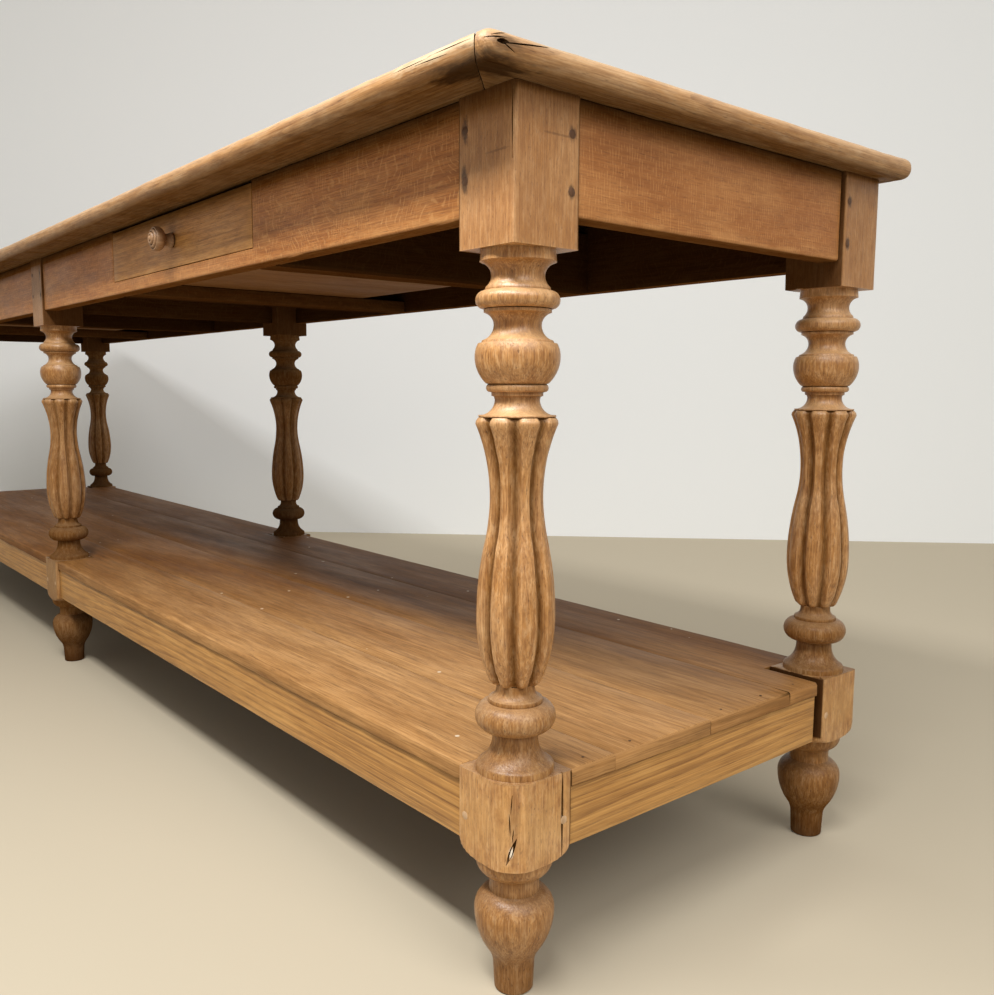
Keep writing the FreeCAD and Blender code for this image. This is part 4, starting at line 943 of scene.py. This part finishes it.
def top():
    """One slab with a bullnosed rim, sawn into mitred borders, end cleats and inner boards."""
    boxes = [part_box(node) for node in SLOT_OF if node.startswith("top_")]
    low = Vector([min(box[0][axis] for box in boxes) for axis in range(3)])
    high = Vector([max(box[1][axis] for box in boxes) for axis in range(3)])
    corner, nose, border, cleat, lap = (size * MM for size in (13, 11.2, 110, 124, 0.2))
    start("cube", size=1, location=(low + high) / 2, scale=high - low)
    pick("EDGE", runs_along(2))
    bpy.ops.mesh.bevel(offset=corner, segments=5, affect="EDGES")
    pick("EDGE", lambda edge: abs(edge.verts[0].co.z - edge.verts[1].co.z) < 1e-5)
    bpy.ops.mesh.bevel(offset=nose, segments=6, affect="EDGES")
    for axis, cell in ((0, 13 * MM), (1, 16 * MM)):
        count = int((high[axis] - low[axis]) / cell)
        for number in range(1, count):
            cut(*square_to(axis, low[axis] + (high[axis] - low[axis]) * number / count, 1))
    slab = done()
    # The mitre runs at 45 degrees from the inner corner of border and cleat
    mitres = {}
    for sign_x, sign_y in ((1, -1), (1, 1), (-1, -1), (-1, 1)):
        edge_x = high.x if sign_x > 0 else low.x
        edge_y = high.y if sign_y > 0 else low.y
        inner = Vector((edge_x - sign_x * cleat, edge_y - sign_y * border, 0))
        mitres[sign_x, sign_y] = (inner, Vector((sign_x, -sign_y, 0)).normalized())

    def saw(planes):
        """Keep what lies behind every plane."""
        again(slab)
        bpy.ops.object.mode_set(mode="EDIT")
        for point, normal in planes:
            cut(point - normal * lap, normal, use_fill=True, clear_outer=True)
        ease_arrises(0.9)
        return done()

    def below(points):
        """Painted shade: the underside inside the rails is nearly black, and outside them the underside and
        the lowest 6 mm of the nose are darkened less.
        """
        inside = (abs(points[:, 0]) < 1.40) & (points[:, 1] > -0.262) & (points[:, 1] < 0.288)
        under = (points[:, 2] / MM < UNDERSIDE + 1.5) * 0.95
        return np.where(inside, under, 0.6 * np.clip(1 - (points[:, 2] / MM - UNDERSIDE) / 6, 0, 1))

    rows = {-1: low.y + border, 1: high.y - border}
    ends = {-1: low.x + cleat, 1: high.x - cleat}
    cuts = {}
    for row, sign in (("front", -1), ("back", 1)):
        cuts[f"top_{row}_board"] = ([mitres[1, sign], mitres[-1, sign], square_to(1, rows[sign], -sign)], 0)
    for end, sign in (("right", 1), ("left", -1)):
        planes = [(point, -normal) for (side, _), (point, normal) in mitres.items() if side == sign]
        cuts[f"top_cleat_{end}"] = (planes + [square_to(0, ends[sign], -sign)], 1)
    width = (rows[1] - rows[-1]) / 3
    for number in range(3):
        cuts[f"top_inner_board_{number + 1}"] = ([
            square_to(1, rows[-1] + number * width, -1), square_to(1, rows[-1] + (number + 1) * width, 1),
            square_to(0, ends[1], 1), square_to(0, ends[-1], -1)], 0)
    for node, (planes, run) in cuts.items():
        piece = saw(planes)
        wear_down(piece, 1.2, 60)
        wear_down(piece, 1.1, 16)
        for opening in TOP_SPLITS.get(node, ()):
            split(piece, *opening)
        mark_grain(piece, run, next(SEEDS), below)
        wood = {"top_cleat_right": CLEAT_OAK, "top_front_board": FRONT_BOARD_OAK}.get(node, TOP_OAK)
        dress(piece, node, wood, smooth=40)
    bpy.data.objects.remove(slab)


# Pegs, nails and blocks


def peg(radius, length, tip):
    """A riven peg: a rod with flats, a little smaller at its far end."""
    start("cylinder", vertices=10, radius=radius * MM, depth=length * MM, location=(0, 0, -length / 2 * MM))
    pick("FACE", lambda face: face.normal.z > 0.9)
    bpy.ops.mesh.inset(thickness=0.5 * MM)
    bpy.ops.transform.translate(value=(0, 0, tip * MM))
    pick("FACE", lambda face: face.normal.z < -0.9)
    bpy.ops.transform.resize(value=(0.8, 0.8, 1), center_override=(0, 0, -length * MM))
    return done()


def set_pegs(node, heads, material, pattern):
    """Copies of one peg, each with its head at a place and facing a turn, joined as one group."""
    pieces = []
    for place, turn in heads:
        pieces.append(again(pattern))
        put(pieces[-1], *(value * MM for value in place), turn=turn)
    piece = join(pieces)
    mark_grain(piece, 2, next(SEEDS))
    dress(piece, node, material)


def fasteners():
    to_front, to_back, to_right, to_left = (90, 0, 0), (-90, 0, 0), (0, 90, 0), (0, -90, 0)
    pattern = peg(4, 42, 0.25)
    for node, wood, long_heights, end_heights in (
            ("upper_rail_pegs", PEG_OAK, LONG_PEGS, END_PEGS),
            ("shelf_rail_pegs", NEW_PEG_OAK, SHELF_PEGS, SHELF_PEGS)):
        heads = []
        for turn, face in ((to_front, LEG_Y["front"] - HALF_BLOCK), (to_back, LEG_Y["back"] + HALF_BLOCK)):
            for x in (LEG_X["left"] + PEG_INSET, -PEG_INSET, PEG_INSET, LEG_X["right"] - PEG_INSET):
                heads += [((x, face, height), turn) for height in long_heights]
        for turn, face in ((to_right, LEG_X["right"] + HALF_BLOCK), (to_left, LEG_X["left"] - HALF_BLOCK)):
            for y in (LEG_Y["front"] + PEG_INSET, LEG_Y["back"] - PEG_INSET):
                heads += [((face, y, height), turn) for height in end_heights]
        set_pegs(node, heads, wood, pattern)
    bpy.data.objects.remove(pattern)
    pattern = peg(1.6, 38, 0.2)
    rows = (-167.5, -102.6, -29.9, 42.9, 115.6, 180)
    heads = [((x, y, SHELF), (0, 0, 0)) for x in (-1402, 0, 1402) for y in rows]
    set_pegs("shelf_nails", heads, NAIL_IRON, pattern)
    bpy.data.objects.remove(pattern)

    blocks = []
    foot, half_length, half_width = 778, 30, 11
    for y in (-231.5, 255.5):
        for x in (-1110, -270, 270, 1110):
            blocks.append(((x - half_length, y - half_width, foot),
                           (x + half_length, y + half_width, UNDERSIDE), 0))
    for x in (-1378.5, 1378.5):
        for y in (-98, 122):
            blocks.append(((x - half_width, y - half_length, foot),
                           (x + half_width, y + half_length, UNDERSIDE), 1))
    pieces = []
    for low, high, run in blocks:
        plank_blank(low, high, run, 20, 1)
        ease_arrises(1.5)
        pieces.append(done())
    piece = join(pieces)
    # The glue blocks are darkened all over: painted shade under the top
    mark_grain(piece, 0, next(SEEDS), soil_and_shade_of=evenly(0.7))
    dress(piece, "glue_blocks", RAIL_OAK)


legs()
upper_rails()
bearers()
drawers()
shelf()
top()
fasteners()

# Studio

camera = bpy.data.objects.new("camera", bpy.data.cameras.new("camera"))
bpy.context.scene.collection.objects.link(camera)
YAW, PITCH, ROLL = (math.radians(angle) for angle in (50.16969583, -6.62262497, 0.22892978))
ahead = Vector((-math.sin(YAW) * math.cos(PITCH), math.cos(YAW) * math.cos(PITCH), math.sin(PITCH)))
right = Vector((math.cos(YAW), math.sin(YAW), 0))
up = right.cross(ahead)
tilted = (math.cos(ROLL) * right + math.sin(ROLL) * up, -math.sin(ROLL) * right + math.cos(ROLL) * up, -ahead)
EYE = Vector((2.00606490, -0.77788146, 0.55718219))
camera.matrix_world = Matrix.Translation(EYE) @ Matrix(tilted).transposed().to_4x4()
camera.data.lens = 944.4221 * 36 / 995
bpy.context.scene.camera = camera
bpy.context.scene.view_settings.view_transform = "Standard"


def stage_material(name, colour, one_sided=False):
    """Matt, pale and even; a one-sided wall can't be seen from behind."""
    material, tree, shader = new_material(name)
    shader.inputs["Base Color"].default_value = linear(colour)
    shader.inputs["Roughness"].default_value = 0.9
    if one_sided:
        behind = add(tree, "NewGeometry", out="Backfacing")
        either = add(tree, "MixShader", behind, shader.outputs[0], add(tree, "BsdfTransparent"))
        tree.links.new(either, tree.nodes["Material Output"].inputs[0])
    return material


def stage_plane(name, size, place, turn, material):
    bpy.ops.object.select_all(action="DESELECT")
    bpy.ops.mesh.primitive_plane_add(size=size, location=place, rotation=turn)
    plane = bpy.context.object
    plane.name = name
    plane.data.materials.append(material)


stage_plane("floor", 14, (0, 0, 0), (0, 0, 0), stage_material("concrete_floor", "#BEB29B"))
level = Vector((ahead.x, ahead.y, 0)).normalized()
wall_turn = (math.radians(90), 0, YAW - math.radians(4.9))
stage_plane("wall", 14, EYE + level * 3.56 + Vector((0, 0, 3)), wall_turn,
            stage_material("plaster_wall", "#F5F7F7", one_sided=True))


def hang_light(name, kind, place, aim, power, **settings):
    """A soft studio lamp at a place, pointed at another."""
    data = bpy.data.lights.new(name, kind)
    data.energy = power
    for setting, value in settings.items():
        setattr(data, setting, value)
    lamp = bpy.data.objects.new(name, data)
    bpy.context.scene.collection.objects.link(lamp)
    lamp.location = place
    lamp.rotation_euler = (Vector(place) - Vector(aim)).to_track_quat("Z", "Y").to_euler()


hang_light("front_light", "AREA", (1.5, -1.05, 2.0), (1.5, 0, 0.3), 53, shape="RECTANGLE", size=1.8,
           size_y=0.26)
hang_light("end_light", "SUN", (0.72, -0.10, 0.68), (0, 0, 0), 1.15, angle=math.radians(35))
world = bpy.data.worlds.new("soft_room")
bpy.context.scene.world = world
world.use_nodes = True
world.node_tree.nodes["Background"].inputs["Color"].default_value = linear("#F4F2EE")
world.node_tree.nodes["Background"].inputs["Strength"].default_value = 0.4

bpy.context.view_layer.update()
